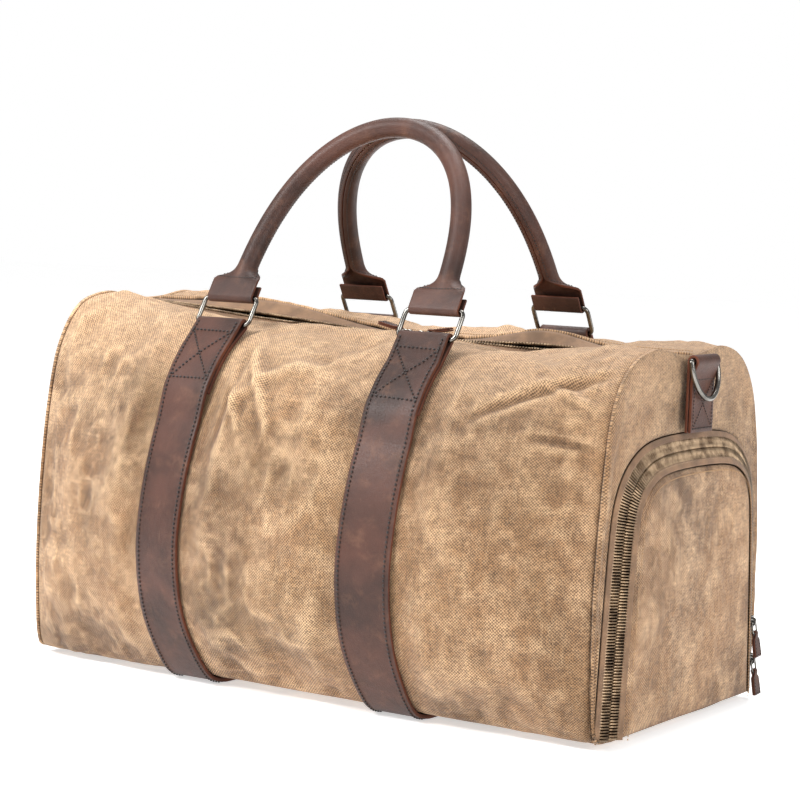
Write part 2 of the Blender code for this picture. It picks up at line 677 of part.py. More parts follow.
# ---- assembly ---------------------------------------------------------------
def main():
    clear_scene()
    canvas = material("waxed_canvas", (0.50, 0.31, 0.165), 0.72)
    lining = material("lining_cotton", (0.17, 0.13, 0.10), 0.85)
    leather = material("pull_up_leather", (0.105, 0.048, 0.035), 0.48)
    metal = material("gunmetal", (0.34, 0.33, 0.31), 0.28, 1.0)
    brass = material("antique_brass", (0.30, 0.23, 0.15), 0.38, 1.0)
    tape = material("zip_tape", (0.36, 0.24, 0.14), 0.82)
    board = material("base_board", (0.05, 0.05, 0.05), 0.8)
    rope = material("handle_core", (0.55, 0.47, 0.34), 0.9)

    side_panel("front_panel", -1, canvas)
    side_panel("back_panel", 1, canvas)
    bottom_panel(canvas)
    dome("left_end_panel", end_outline(-1), (0, 0.13), END_FACE + CANVAS, END_CROWN, -1, canvas, CANVAS)
    right_end_panel(canvas)
    door_panel(canvas)

    main_lining(lining)
    shoe_pocket(lining)
    box("base_board", (0, 0, BOARD_Z), BOARD_SIZE, board, BOARD_EDGE)

    for side, word in ((-1, "front"), (1, "back")):
        top_strip("top_zip_tape_" + word, side, TOP_TAPE, TAPE_THICK, tape, BODY_HALF)
        top_strip("top_zip_teeth_" + word, side, TOP_TOOTH, TOOTH_THICK, brass, ZIP_HALF)
    for end, word in ((-1, "left"), (1, "right")):
        x = end * (ZIP_HALF + GAP + STOP_SIZE[0] / 2)
        box("top_zip_stop_" + word, (x, 0, ZIP_Z + zip_lift(x) - STOP_DROP), STOP_SIZE, brass)

    track_strip("shoe_zip_tape_outer", SHOE_TAPE[0], SHOE_TAPE[1], TAPE_THICK, tape)
    track_strip("shoe_zip_teeth_outer", SHOE_TOOTH[0], SHOE_TOOTH[1], TOOTH_THICK, brass)
    track_strip("shoe_zip_teeth_inner", -SHOE_TOOTH[1], -SHOE_TOOTH[0], TOOTH_THICK, brass)
    track_strip("shoe_zip_tape_inner", -SHOE_TAPE[1], -SHOE_TAPE[0], TAPE_THICK, tape)

    tilt = math.atan(ZIP_RISE)
    left_x = TOP_SLIDER_X["left"]
    slider_and_pull("top_left", (left_x, 0, ZIP_Z + zip_lift(left_x)), (-math.cos(tilt), 0, math.sin(tilt)),
                    (math.sin(tilt), 0, math.cos(tilt)), TOP_PULL_TILT, metal, leather)
    slider_and_pull("top_right", (TOP_SLIDER_X["right"], 0, ZIP_Z), (1, 0, 0), (0, 0, 1),
                    TOP_PULL_TILT, metal, leather)
    start, stop = Vector((0, *TRACK[-1])), Vector((0, *TRACK[-2]))
    for word, z in SHOE_SLIDER_Z.items():
        along = (start - stop).normalized()
        place = start.lerp(stop, (z - start.z) / (stop.z - start.z)) + Vector((TRACK_X, 0, 0))
        slider_and_pull("shoe_" + word, place, along, (1, 0, 0), SHOE_PULL_TILT, metal, leather)

    strap("strap_left", -STRAP_X, leather)
    strap("strap_right", STRAP_X, leather)
    for side, word in ((-1, "front"), (1, "back")):
        ring("ring_%s_left" % word, -STRAP_X, side, metal)
        ring("ring_%s_right" % word, STRAP_X, side, metal)
        handle("handle_" + word, side, leather)
        handle_core("handle_core_" + word, side, rope)
    for end, word in ((-1, "left"), (1, "right")):
        d_tab("d_ring_tab_" + word, end, leather)
        d_ring("d_ring_" + word, end, metal)


main()
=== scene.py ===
# %% [markdown]
# A weekender duffel bag in waxed canvas and leather, with brass zips, steel rings and rolled handles.
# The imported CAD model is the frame: it says where every piece is and how it moves. Here each soft
# piece is modelled again with its folds, seams and stitches, and every surface gets its finish.
# The frame is in metres: X runs along the bag towards the shoe compartment, -Y is the front, Z is up.

import math

import bmesh
import bpy
import numpy as np
from mathutils import Matrix, Vector


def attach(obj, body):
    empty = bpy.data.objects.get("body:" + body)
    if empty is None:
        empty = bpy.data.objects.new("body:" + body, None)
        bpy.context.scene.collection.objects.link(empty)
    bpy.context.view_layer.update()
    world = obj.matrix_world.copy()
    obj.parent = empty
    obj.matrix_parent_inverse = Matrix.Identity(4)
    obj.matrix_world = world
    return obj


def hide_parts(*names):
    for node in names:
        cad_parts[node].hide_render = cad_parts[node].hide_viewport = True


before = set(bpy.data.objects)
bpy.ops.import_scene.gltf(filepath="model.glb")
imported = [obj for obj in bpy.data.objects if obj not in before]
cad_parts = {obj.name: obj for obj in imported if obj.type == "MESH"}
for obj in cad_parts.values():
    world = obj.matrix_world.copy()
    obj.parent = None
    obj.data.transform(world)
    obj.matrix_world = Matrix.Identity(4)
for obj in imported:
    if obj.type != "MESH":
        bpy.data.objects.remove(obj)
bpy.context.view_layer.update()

# %% [markdown]
# The camera stands in front of the bag's right end, a little above its middle, and rolls by two
# degrees. A long lens keeps the sides nearly parallel. Its three angles make its three axes.

# %% Camera
CAMERA_PLACE = Vector((0.983, -1.4824, 0.3649))
CAMERA_TURN, CAMERA_PITCH, CAMERA_ROLL = (math.radians(d) for d in (33.41, 4.65, 2.09))
LENS = 101.3


def add_camera():
    data = bpy.data.cameras.new("camera")
    data.lens, data.sensor_width = LENS, 36
    back = Vector((math.sin(CAMERA_TURN) * math.cos(CAMERA_PITCH),
                   -math.cos(CAMERA_TURN) * math.cos(CAMERA_PITCH), math.sin(CAMERA_PITCH)))
    right = Vector((math.cos(CAMERA_TURN), math.sin(CAMERA_TURN), 0))
    up = back.cross(right)
    across = right * math.cos(CAMERA_ROLL) + up * math.sin(CAMERA_ROLL)
    upward = up * math.cos(CAMERA_ROLL) - right * math.sin(CAMERA_ROLL)
    camera = bpy.data.objects.new("camera", data)
    turn = Matrix((across, upward, back)).transposed().to_4x4()
    camera.matrix_world = Matrix.Translation(CAMERA_PLACE) @ turn
    bpy.context.collection.objects.link(camera)
    bpy.context.scene.camera = camera
    return camera


print("camera at", tuple(round(v, 3) for v in add_camera().location))

# %% [markdown]
# Studio light is soft when its sources are large. One wide panel above the front left is the key,
# a second fills from the right, and a third skims the top from behind. A pale world fills the rest.

# %% Lights and floor
def soft_light(name, place, target, size, watts):
    data = bpy.data.lights.new(name, "AREA")
    data.shape, data.size, data.energy = "SQUARE", size, watts
    light = bpy.data.objects.new(name, data)
    aim = (Vector(target) - Vector(place)).to_track_quat("-Z", "Y")
    light.matrix_world = Matrix.Translation(place) @ aim.to_matrix().to_4x4()
    bpy.context.collection.objects.link(light)


# the place, the point it is aimed at, its width in metres and its power in watts
soft_light("key", (-1.0, -1.9, 1.9), (0, 0, 0.15), 1.0, 80)
soft_light("fill", (2.3, -0.5, 1.3), (0.1, 0, 0.15), 1.2, 30)
soft_light("top", (-0.3, 0.7, 2.2), (0, 0, 0.2), 1.2, 46)


def pale_world(seen, lighting):
    """A white world, as bright as seen to the eye and as lighting to the surfaces."""
    world = bpy.data.worlds.new("pale")
    world.use_nodes = True
    tree = world.node_tree
    backdrop = tree.nodes["Background"]
    backdrop.inputs["Color"].default_value = (1.0, 1.0, 1.0, 1)
    ray, strength = tree.nodes.new("ShaderNodeLightPath"), tree.nodes.new("ShaderNodeMapRange")
    strength.inputs["To Min"].default_value, strength.inputs["To Max"].default_value = lighting, seen
    tree.links.new(ray.outputs["Is Camera Ray"], strength.inputs["Value"])
    tree.links.new(strength.outputs["Result"], backdrop.inputs["Strength"])
    bpy.context.scene.world = world


pale_world(1.0, 0.50)
bpy.context.scene.view_settings.view_transform = "Standard"

floor_mesh = bpy.data.meshes.new("floor")
floor_mesh.from_pydata([(-9, -9, 0), (9, -9, 0), (9, 9, 0), (-9, 9, 0)], [], [(0, 1, 2, 3)])
floor = bpy.data.objects.new("floor", floor_mesh)
bpy.context.collection.objects.link(floor)
print("three lights, a world and a floor")

# %% [markdown]
# A finish is a tree of nodes. This class wraps one socket, so that a sum of patterns reads as a sum:
# adding or multiplying two of them adds a Math node, and `node` adds any other kind.

# %% Node arithmetic
class Shade:
    """A socket in a material's node tree."""

    def __init__(self, tree, socket=None):
        self.tree, self.socket = tree, socket

    def node(self, kind, settings=None, out=0, **sockets):
        """Adds a node: its settings first, then its sockets by name, or by place as i0, i1 ..."""
        made = self.tree.nodes.new("ShaderNode" + kind)
        for key, value in (settings or {}).items():
            setattr(made, key, value)
        for key, value in sockets.items():
            name = int(key[1:]) if key[1:].isdigit() else key.replace("_", " ")
            if isinstance(value, Shade):
                self.tree.links.new(value.socket, made.inputs[name])
            else:
                made.inputs[name].default_value = value
        return Shade(self.tree, made.outputs[out])

    def math(self, operation, *values):
        return self.node("Math", {"operation": operation}, **{"i%d" % k: v for k, v in enumerate(values)})

    def clamp(self):
        return self.node("Clamp", Value=self)

    def sine(self):
        return self.math("SINE", self)

    def absolute(self):
        return self.math("ABSOLUTE", self)

    def parts(self):
        """The three numbers of a vector."""
        split = self.node("SeparateXYZ", Vector=self)
        return [Shade(self.tree, output) for output in split.socket.node.outputs]

    def between(self, low, high):
        """0 below low, 1 above high, smooth between."""
        return self.node("MapRange", {"interpolation_type": "SMOOTHSTEP"}, Value=self,
                         From_Min=low, From_Max=high)

    def mixed(self, factor, a, b, blend="MIX"):
        """Colour a turned into b by factor."""
        return self.node("Mix", {"data_type": "RGBA", "blend_type": blend}, 2, i0=factor, i6=a, i7=b)

    def __add__(self, other):
        return self.math("ADD", self, other)

    def __sub__(self, other):
        return self.math("SUBTRACT", self, other)

    def __rsub__(self, other):
        return self.math("SUBTRACT", other, self)

    def __mul__(self, other):
        return self.math("MULTIPLY", self, other)

    __radd__, __rmul__ = __add__, __mul__


def linear(red, green, blue):
    """A colour given as 0 to 255 display values, as linear light with alpha."""
    return (*(((c / 255 + 0.055) / 1.055) ** 2.4 if c > 10 else c / 3295 for c in (red, green, blue)), 1)


def finish(name, **uniform):
    """A new material and its shader; uniform values are set on the shader's own sockets."""
    mat = bpy.data.materials.new(name)
    mat.use_nodes = True
    shader = mat.node_tree.nodes["Principled BSDF"]
    for key, value in uniform.items():
        shader.inputs[key.replace("_", " ")].default_value = value
    return mat, shader, Shade(mat.node_tree)


def wire_up(shader, start, colour, roughness=None, height=None, bump=0.3, depth=0.001):
    """Links a finish's patterns to its shader; height feeds Normal through a Bump node."""
    links = start.tree.links
    links.new(colour.socket, shader.inputs["Base Color"])
    if roughness is not None:
        links.new(roughness.socket, shader.inputs["Roughness"])
    if height is not None:
        normal = start.node("Bump", Strength=bump, Distance=depth, Height=height)
        links.new(normal.socket, shader.inputs["Normal"])


def noise(start, where, scale, detail=3.0, roughness=0.55, distortion=0.0):
    return start.node("TexNoise", Vector=where, Scale=scale, Detail=detail, Roughness=roughness,
                      Distortion=distortion)


print("node arithmetic ready")

# %% [markdown]
# Waxed canvas is a close plain weave of tan cotton. The wax darkens it in clouds, turns pale where the
# cloth is creased, and lies uneven, so it is duller in some places. The weave follows the cloth's own
# UV map, which is in metres, so a thread is as wide on a curved panel as on a flat one. An attribute written
# with the folds is above zero on their crests, which go pale as creased wax does, and below zero in their
# valleys, which are darkened as painted shade. The top is made paler as painted light, and the sides are
# darker towards the shoe compartment as painted shade.

# %% Waxed canvas
THREAD = 0.0023              # metres from thread to thread
SHADED, LIT = (0.44, 0.41, 0.38, 1), (1.54, 1.52, 1.49, 1)      # between threads, and on top of them


def make_canvas():
    mat, shader, start = finish("waxed_canvas", Sheen_Weight=0.12, Sheen_Roughness=0.6,
                                Specular_IOR_Level=0.32)
    cloth = start.node("UVMap", {"uv_map": "cloth"})
    place = start.node("TexCoord", out=3)
    across, along, _ = cloth.parts()
    slub = noise(start, cloth, 260, 2, 0.6) - 0.5
    warp = (across * (2 * math.pi / THREAD) + slub * 2.4).sine()
    weft = (along * (2 * math.pi / THREAD) + slub * 2.4).sine()
    weave = warp * weft
    long_threads = noise(start, start.node("Mapping", Vector=cloth, Scale=(1, 0.25, 1)), 520, 2, 0.6)
    cross_threads = noise(start, start.node("Mapping", Vector=cloth, Scale=(0.25, 1, 1)), 520, 2, 0.6)
    threads = long_threads + cross_threads - 1.0

    clouds = noise(start, place, 7.5, 5, 0.6, 0.7)
    patches = noise(start, place, 30, 6, 0.68, 0.1)
    stains = noise(start, start.node("Mapping", Vector=place, Location=(3.1, 0.4, 1.7)), 4.2, 4, 0.6, 1.2)
    ridge = (noise(start, place, 34, 5, 0.62, 1.4) - 0.5).absolute()
    fine_ridge = (noise(start, place, 85, 4, 0.6, 1.6) - 0.5).absolute()
    cracks = 1.0 - ridge.between(0.0, 0.030)
    fine_cracks = (1.0 - fine_ridge.between(0.0, 0.035)) * patches.between(0.42, 0.62)
    wear = start.node("Attribute", {"attribute_name": "wear"}, 2)

    deep, mid, pale = linear(100, 72, 46), linear(150, 114, 79), linear(206, 172, 136)
    colour = start.mixed(clouds.between(0.33, 0.66), deep, mid)
    colour = start.mixed(patches.between(0.42, 0.70) * 0.62, colour, pale)
    colour = start.mixed(stains.between(0.56, 0.72) * 0.34, colour, linear(102, 82, 50))
    colour = start.mixed((cracks * 0.16 + fine_cracks * 0.14).clamp(), colour, linear(212, 182, 144))
    # crests go pale as creased wax does; valleys are darkened below, as painted shade
    colour = start.mixed((wear * 0.55).clamp(), colour, linear(214, 182, 144))
    colour = start.mixed((wear * -0.65).clamp(), colour, linear(92, 64, 38))
    east, _, height = place.parts()
    # painted light: the top of the bag is made paler, as if lit from above
    colour = start.mixed(height.between(0.20, 0.285) * 0.42, colour, linear(216, 180, 142))
    # painted shade: front and back darken towards the shoe compartment end, the end panel itself left out
    right_end_shade = east.between(0.02, 0.20) * (1.0 - east.between(0.255, 0.265))
    colour = start.mixed(right_end_shade * 0.30, colour, linear(106, 78, 50))
    tone = (weave * 0.85 + threads * 1.5 + 0.5).clamp()
    colour = start.mixed(1.0, colour, start.mixed(tone, SHADED, LIT), "MULTIPLY")
    rough = 0.60 + patches * 0.22 - cracks * 0.08 + wear * 0.05
    height = weave * 0.8 + threads * 1.5 + patches * 0.8 + cracks * 0.4 + fine_cracks * 0.2
    wire_up(shader, start, colour, rough, height, 0.60, 0.0011)
    return mat


CANVAS_FINISH = make_canvas()
CANVAS_SIDES = [CANVAS_FINISH, CANVAS_FINISH]
print("canvas:", len(CANVAS_FINISH.node_tree.nodes), "nodes")

# %% [markdown]
# Pull-up leather is full of oil: it is nearly black-brown at rest and goes lighter where it bends and
# rubs. Its grain is a fine net of pores. The cut edges are raw, so they show the hide's orange core.

# %% Leather
def make_leather(name, tones, roughness, bump, coat):
    mat, shader, start = finish(name, Coat_Roughness=0.35, Specular_IOR_Level=0.30, Coat_Weight=coat)
    place = start.node("TexCoord", out=3)
    clouds = noise(start, place, 14, 5, 0.62, 0.3)
    rub = noise(start, place, 60, 6, 0.70, 0.2)
    pores = start.node("TexVoronoi", {"feature": "DISTANCE_TO_EDGE"}, Vector=place, Scale=640)
    grain = noise(start, place, 420, 3, 0.6)
    scuff = noise(start, start.node("Mapping", Vector=place, Scale=(1, 1, 0.16)), 150, 4, 0.65, 0.4)
    dark, mid, light = (linear(*tone) for tone in tones)
    colour = start.mixed(clouds.between(0.32, 0.66), dark, mid)
    colour = start.mixed((rub.between(0.48, 0.80) * 0.34).clamp(), colour, light)
    colour = start.mixed((scuff.between(0.62, 0.80) * 0.35).clamp(), colour, light)
    rough = roughness + rub * 0.22 - clouds * 0.10
    height = pores.between(0.0, 0.10) * 0.5 + grain * 0.8 + rub * 0.9
    wire_up(shader, start, colour, rough, height, bump, 0.0004)
    return mat


LEATHER = make_leather("pull_up_leather", ((46, 28, 22), (80, 50, 40), (136, 96, 74)), 0.42, 0.5, 0.05)
LEATHER_EDGE = make_leather("raw_leather_edge", ((74, 40, 28), (106, 58, 38), (142, 84, 56)), 0.62, 0.7, 0.0)
LEATHER_SIDES = [LEATHER, LEATHER_EDGE]
print("leather and its raw edge")

# %% [markdown]
# The rings are plated steel: dark, smooth and bright where a light panel reflects. The zips are
# antique brass, worn bright on top and dark between the teeth.

# %% Metals
def make_metal(name, dark, light, roughness, spread, bump):
    mat, shader, start = finish(name, Metallic=1.0)
    place = start.node("TexCoord", out=3)
    clouds = noise(start, place, 90, 4, 0.6)
    scratches = noise(start, start.node("Mapping", Vector=place, Scale=(0.15, 1, 1)), 900, 2, 0.6)
    colour = start.mixed(clouds.between(0.30, 0.70), linear(*dark), linear(*light))
    rough = roughness + clouds * spread + scratches * 0.08
    wire_up(shader, start, colour, rough, clouds * 0.6 + scratches * 0.5, bump, 0.0002)
    return mat


STEEL = make_metal("gunmetal", (92, 89, 85), (140, 137, 131), 0.12, 0.12, 0.03)
BRASS = make_metal("antique_brass", (92, 74, 58), (176, 152, 124), 0.20, 0.20, 0.30)
print("two metals")

# %% [markdown]
# Zip tape is a dense herringbone ribbon, so fine diagonal ribs run along it. The lining is thin brown
# cotton, the base board dark pressed fibre, and the handle's core twisted rope. Thread is waxed and dark.

# %% Woven and other finishes
def make_woven(name, dark, light, pitch, roughness, bump):
    """A weave with diagonal ribs, a pitch apart, on Object coordinates."""
    mat, shader, start = finish(name, Sheen_Weight=0.1)
    place = start.node("TexCoord", out=3)
    along, across, up = place.parts()
    turns = 2 * math.pi / pitch
    weave = ((along + across + up) * turns).sine() * 0.5
    weave = weave + ((along - across - up) * turns).sine() * 0.3
    clouds = noise(start, place, 60, 4, 0.6)
    colour = start.mixed((clouds + weave * 0.20).between(0.25, 0.75), linear(*dark), linear(*light))
    wire_up(shader, start, colour, roughness + clouds * 0.1, weave * 0.7 + clouds, bump, 0.0004)
    return mat


TAPE = make_woven("zip_tape", (98, 74, 54), (140, 108, 80), 0.0012, 0.78, 0.4)
LINING = make_woven("lining_cotton", (78, 62, 48), (104, 84, 66), 0.0010, 0.85, 0.4)
BOARD = make_woven("base_board", (44, 42, 40), (62, 60, 56), 0.003, 0.75, 0.3)
ROPE = make_woven("rope_core", (166, 148, 112), (206, 190, 152), 0.0035, 0.9, 0.9)
THREAD_FINISH = make_woven("waxed_thread", (22, 15, 12), (44, 30, 24), 0.0007, 0.55, 0.5)
PALE_THREAD = make_woven("canvas_thread", (150, 116, 80), (188, 150, 108), 0.0007, 0.7, 0.5)


def make_floor():
    mat, shader, start = finish("studio_floor", Roughness=0.75, Emission_Color=(1, 1, 1, 1),
                                Emission_Strength=0.53)
    place = start.node("TexCoord", out=3)
    tone = noise(start, place, 1.5, 2, 0.5)
    colour = start.mixed(tone, (0.90, 0.90, 0.90, 1), (0.93, 0.93, 0.93, 1))
    wire_up(shader, start, colour)
    return mat


floor_mesh.materials.append(make_floor())
print("tape, lining, board, rope, two threads and the floor")

# %% [markdown]
# Every sheet on the bag is a grid of points given a wall. `sheet` makes one: its front faces the way
# the rows turn, its UV map counts metres along and across the cloth, and the rim round the wall takes
# a second finish, so that leather shows a raw edge.

# %% Mesh helpers
def lerp(a, b, f):
    return a + (b - a) * f


def eased(f):
    """f from 0 to 1 with a soft start and a soft stop."""
    return f * f * (3 - 2 * f)


def hump(distance, width):
    """1 at distance 0, fading to nothing over about twice the width."""
    return np.exp(-(distance / width) ** 2)


def travelled(path):
    """How far along a line of points each point is."""
    return np.r_[0, np.cumsum(np.linalg.norm(np.diff(path, axis=0), axis=1))]


def sampled(path, count):
    """The same line as count points, evenly spaced."""
    path = np.asarray(path, float)
    reach = travelled(path)
    goals = np.linspace(0, reach[-1], count)
    return np.stack([np.interp(goals, reach, path[:, k]) for k in range(path.shape[1])], 1)


def evenly(path, step):
    """The same line with points about a step apart."""
    return sampled(path, max(2, round(travelled(path)[-1] / step) + 1))


def sideways(line):
    """Unit vectors square to a flat line, to its left."""
    along = np.gradient(line, axis=0)
    along /= np.linalg.norm(along, axis=1, keepdims=True)
    return np.stack((-along[:, 1], along[:, 0]), 1)


def bake(obj, body, *replaced, slot=None):
    """Turns an object and its modifiers into a plain mesh at the origin that rides on a body."""
    bpy.context.view_layer.update()
    ready = obj.evaluated_get(bpy.context.evaluated_depsgraph_get())
    mesh = bpy.data.meshes.new_from_object(ready)
    mesh.transform(obj.matrix_world)
    name = obj.name
    old = obj.data
    bpy.data.objects.remove(obj, do_unlink=True)
    (bpy.data.meshes if isinstance(old, bpy.types.Mesh) else bpy.data.curves).remove(old)
    mesh.name = name
    piece = bpy.data.objects.new(name, mesh)
    bpy.context.collection.objects.link(piece)
    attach(piece, body)
    if replaced:
        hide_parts(*replaced)
    return piece


def grid_mesh(name, points, wrap=False, wear=None, flat=False):
    """A mesh over points [rows, columns, 3], with a UV map in metres called cloth: along the rows and
    columns, or straight across Y and Z for an end panel that is cut flat."""
    points = np.asarray(points, float)
    rows, columns = points.shape[:2]
    quads = [(r * columns + c, r * columns + (c + 1) % columns,
              (r + 1) * columns + (c + 1) % columns, (r + 1) * columns + c)
             for r in range(rows - 1) for c in range(columns if wrap else columns - 1)]
    mesh = bpy.data.meshes.new(name)
    mesh.from_pydata(points.reshape(-1, 3).tolist(), [], quads)
    u, v = (np.r_[0, np.cumsum(np.linalg.norm(np.diff(points, axis=1 - k), axis=2).mean(k))] for k in (0, 1))
    layer = mesh.uv_layers.new(name="cloth")
    corner = np.zeros(len(mesh.loops), int)
    mesh.loops.foreach_get("vertex_index", corner)
    if flat:
        layer.data.foreach_set("uv", points.reshape(-1, 3)[corner][:, 1:].ravel())
    else:
        layer.data.foreach_set("uv", np.stack((u[corner % columns], v[corner // columns]), 1).ravel())
    if wear is not None:
        mark = mesh.attributes.new("wear", "FLOAT", "POINT")
        mark.data.foreach_set("value", np.asarray(wear, np.float32).ravel())
    mesh.shade_smooth()
    return mesh


def add(name, data, *finishes):
    obj = bpy.data.objects.new(name, data)
    bpy.context.collection.objects.link(obj)
    for mat in finishes:
        data.materials.append(mat)
    return obj


def dress(node, mat):
    """Gives a carried-over CAD node its finish."""
    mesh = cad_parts[node].data
    mesh.materials.clear()
    mesh.materials.append(mat)
    mesh.polygons.foreach_set("material_index", [0] * len(mesh.polygons))


def built(name, build):
    """A smooth mesh from what was built."""
    mesh = bpy.data.meshes.new(name)
    build.to_mesh(mesh)
    build.free()
    mesh.shade_smooth()
    return mesh


def line_curve(name, lines, closed=False):
    curve = bpy.data.curves.new(name, "CURVE")
    curve.dimensions = "3D"
    for points in lines:
        spline = curve.splines.new("POLY")
        spline.points.add(len(points) - 1)
        spline.points.foreach_set("co", np.insert(np.asarray(points, float), 3, 1, axis=1).ravel())
        spline.use_cyclic_u = spline.use_smooth = closed
    return curve


def sheet(name, points, thick, finishes, wrap=False, wear=None, edge=0.0, flat=False):
    """A walled sheet, not yet baked. The wall grows away from the sheet's front."""
    obj = add(name, grid_mesh(name, points, wrap, wear, flat), *finishes)
    wall = obj.modifiers.new("wall", "SOLIDIFY")
    wall.thickness, wall.offset = thick, -1
    wall.material_offset_rim = len(finishes) - 1
    if edge:
        rounding = obj.modifiers.new("edge", "BEVEL")
        rounding.width, rounding.segments = edge, 2
        rounding.limit_method, rounding.angle_limit = "ANGLE", math.radians(50)
    return obj


def wire(name, points, radius, mat, sides=6):
    """A ring of round wire along a closed line of points."""
    curve = line_curve(name, [points], closed=True)
    curve.bevel_depth, curve.bevel_resolution = radius, sides
    return add(name, curve, mat)


def round_corners(path, times=2):
    """Cuts the corners of an open line of points, [points, n], times over."""
    path = np.asarray(path, float)
    for _ in range(times):
        inner = np.stack((path[:-1] * 0.75 + path[1:] * 0.25, path[:-1] * 0.25 + path[1:] * 0.75), 1)
        path = np.concatenate((path[:1], inner.reshape(-1, path.shape[1]), path[-1:]))
    return path


print("mesh helpers ready")

# %% [markdown]
# Stitches and zip teeth repeat along a line, so one Geometry Nodes tree makes them all. It resamples
# a curve at a pitch, turns an item along the line with its top facing outwards, puts one on every
# point, and makes the instances real with a finish. The result is baked to a plain mesh.

# %% A tree that repeats an item along a line
def make_repeat_tree():
    tree = bpy.data.node_groups.new("repeat_along_line", "GeometryNodeTree")
    for label, kind in (("Line", "Geometry"), ("Pitch", "Float"), ("Item", "Object"),
                        ("Facing", "Vector"), ("Finish", "Material")):
        tree.interface.new_socket(label, in_out="INPUT", socket_type="NodeSocket" + kind)
    tree.interface.new_socket("Result", in_out="OUTPUT", socket_type="NodeSocketGeometry")
    new = tree.nodes.new
    given, result = new("NodeGroupInput"), new("NodeGroupOutput")
    spaced = new("GeometryNodeResampleCurve")
    spaced.mode = "LENGTH"
    tangent = new("GeometryNodeInputTangent")
    along, facing = new("FunctionNodeAlignRotationToVector"), new("FunctionNodeAlignRotationToVector")
    along.axis, facing.axis, facing.pivot_axis = "X", "Z", "X"
    item, place = new("GeometryNodeObjectInfo"), new("GeometryNodeInstanceOnPoints")
    real, dress = new("GeometryNodeRealizeInstances"), new("GeometryNodeSetMaterial")
    for a, out, b, into in ((given, "Line", spaced, "Curve"), (given, "Pitch", spaced, "Length"),
                            (tangent, "Tangent", along, "Vector"), (along, "Rotation", facing, "Rotation"),
                            (given, "Facing", facing, "Vector"), (spaced, "Curve", place, "Points"),
                            (given, "Item", item, "Object"), (item, "Geometry", place, "Instance"),
                            (facing, "Rotation", place, "Rotation"), (place, "Instances", real, "Geometry"),
                            (real, "Geometry", dress, "Geometry"), (given, "Finish", dress, "Material"),
                            (dress, "Geometry", result, "Result")):
        tree.links.new(a.outputs[out], b.inputs[into])
    return tree


REPEAT = make_repeat_tree()
REPEAT_INPUT = {item.name: item.identifier for item in REPEAT.interface.items_tree if item.in_out == "INPUT"}


def rounded_item(name, size, corner):
    """A block with rounded edges, centred on its origin."""
    build = bmesh.new()
    bmesh.ops.create_cube(build, size=1)
    bmesh.ops.scale(build, vec=size, verts=build.verts)
    bmesh.ops.bevel(build, geom=build.edges[:], offset=corner, segments=1, affect="EDGES")
    return add(name, built(name, build))


def repeated(name, lines, pitch, item, facing, mat, body, *replaced, slot=None):
    """Items along each line, as one mesh on a body."""
    obj = add(name, line_curve(name, lines))
    modifier = obj.modifiers.new("repeat", "NODES")
    modifier.node_group = REPEAT
    for label, value in (("Pitch", pitch), ("Item", item), ("Facing", facing), ("Finish", mat)):
        modifier[REPEAT_INPUT[label]] = value
    return bake(obj, body, *replaced, slot=slot)


STITCH = rounded_item("stitch_item", (0.0018, 0.0014, 0.0012), 0.00035)
STITCH_PITCH = 0.0034
SMALL_STITCH = rounded_item("small_stitch_item", (0.0014, 0.0009, 0.0007), 0.00025)
SMALL_PITCH = 0.0025


def stitches(name, lines, body, slot, facing=(0, 0, 1), small=False, mat=None):
    item, pitch = (SMALL_STITCH, SMALL_PITCH) if small else (STITCH, STITCH_PITCH)
    return repeated(name, lines, pitch, item, facing, mat or THREAD_FINISH, body, slot=slot)


print("repeat tree:", len(REPEAT.nodes), "nodes")

# %% [markdown]
# The body is lofted between two half sections: a full one at the middle and a squarer one at the ends.
# These are the CAD panels' own points, so the fine canvas lies where the coarse solid does. `t` runs
# from 0 under the middle of the bag to 1 at the zip.

# %% The body's shape
BODY_HALF = 0.256
CANVAS = 0.0025
STRAP_THICK, GAP, STRAP_GAP = 0.003, 0.0003, 0.0008
MIDDLE = [(0, .0038), (.080, .0038), (.116, .0045), (.138, .016), (.168, .058), (.179, .106),
          (.173, .154), (.156, .202), (.132, .241), (.101, .266), (.060, .277), (.012, .2730)]
END = [(0, .0038), (.080, .0038), (.116, .0045), (.127, .014), (.131, .058), (.131, .108),
       (.128, .156), (.122, .203), (.111, .242), (.088, .268), (.052, .278), (.012, .2730)]
CROWN_POWER = 2.2
BOTTOM_T = 2 / 11
ZIP_Z, ZIP_RISE, ZIP_MEET_X, ZIP_HALF = 0.2715, 0.062, 0.017, 0.245
STRAP_X, STRAP_WIDTH = 0.094, 0.043


def smooth_line(points, t):
    points = np.array(points)
    last = len(points) - 1
    padded = np.vstack(([-points[1][0], points[1][1]], points,
                        [2 * points[last][0] - points[last - 1][0], points[last - 1][1]]))
    place = np.clip(t, 0, 1) * last
    i = np.minimum(place.astype(int), last - 1)
    f = (place - i)[..., None]
    a, b, c, d = padded[i], padded[i + 1], padded[i + 2], padded[i + 3]
    return 0.5 * (2 * b + (c - a) * f + (2 * a - 5 * b + 4 * c - d) * f * f + (3 * b - a - 3 * c + d) * f ** 3)


def zip_lift(x):
    return ZIP_RISE * np.maximum(0.0, ZIP_MEET_X - x)


def skin(x, t):
    """(out, up) of the canvas surface, for arrays of x and t."""
    x, t = np.broadcast_arrays(np.asarray(x, float), np.asarray(t, float))
    crown = (1 - np.abs(x / BODY_HALF) ** CROWN_POWER)[..., None]
    line = lerp(smooth_line(END, t), smooth_line(MIDDLE, t), crown)
    rise = np.clip((line[..., 1] - 0.15) / 0.12, 0, 1) ** 2
    line[..., 1] = np.maximum(line[..., 1], STRAP_THICK + STRAP_GAP) + zip_lift(x) * rise
    return line


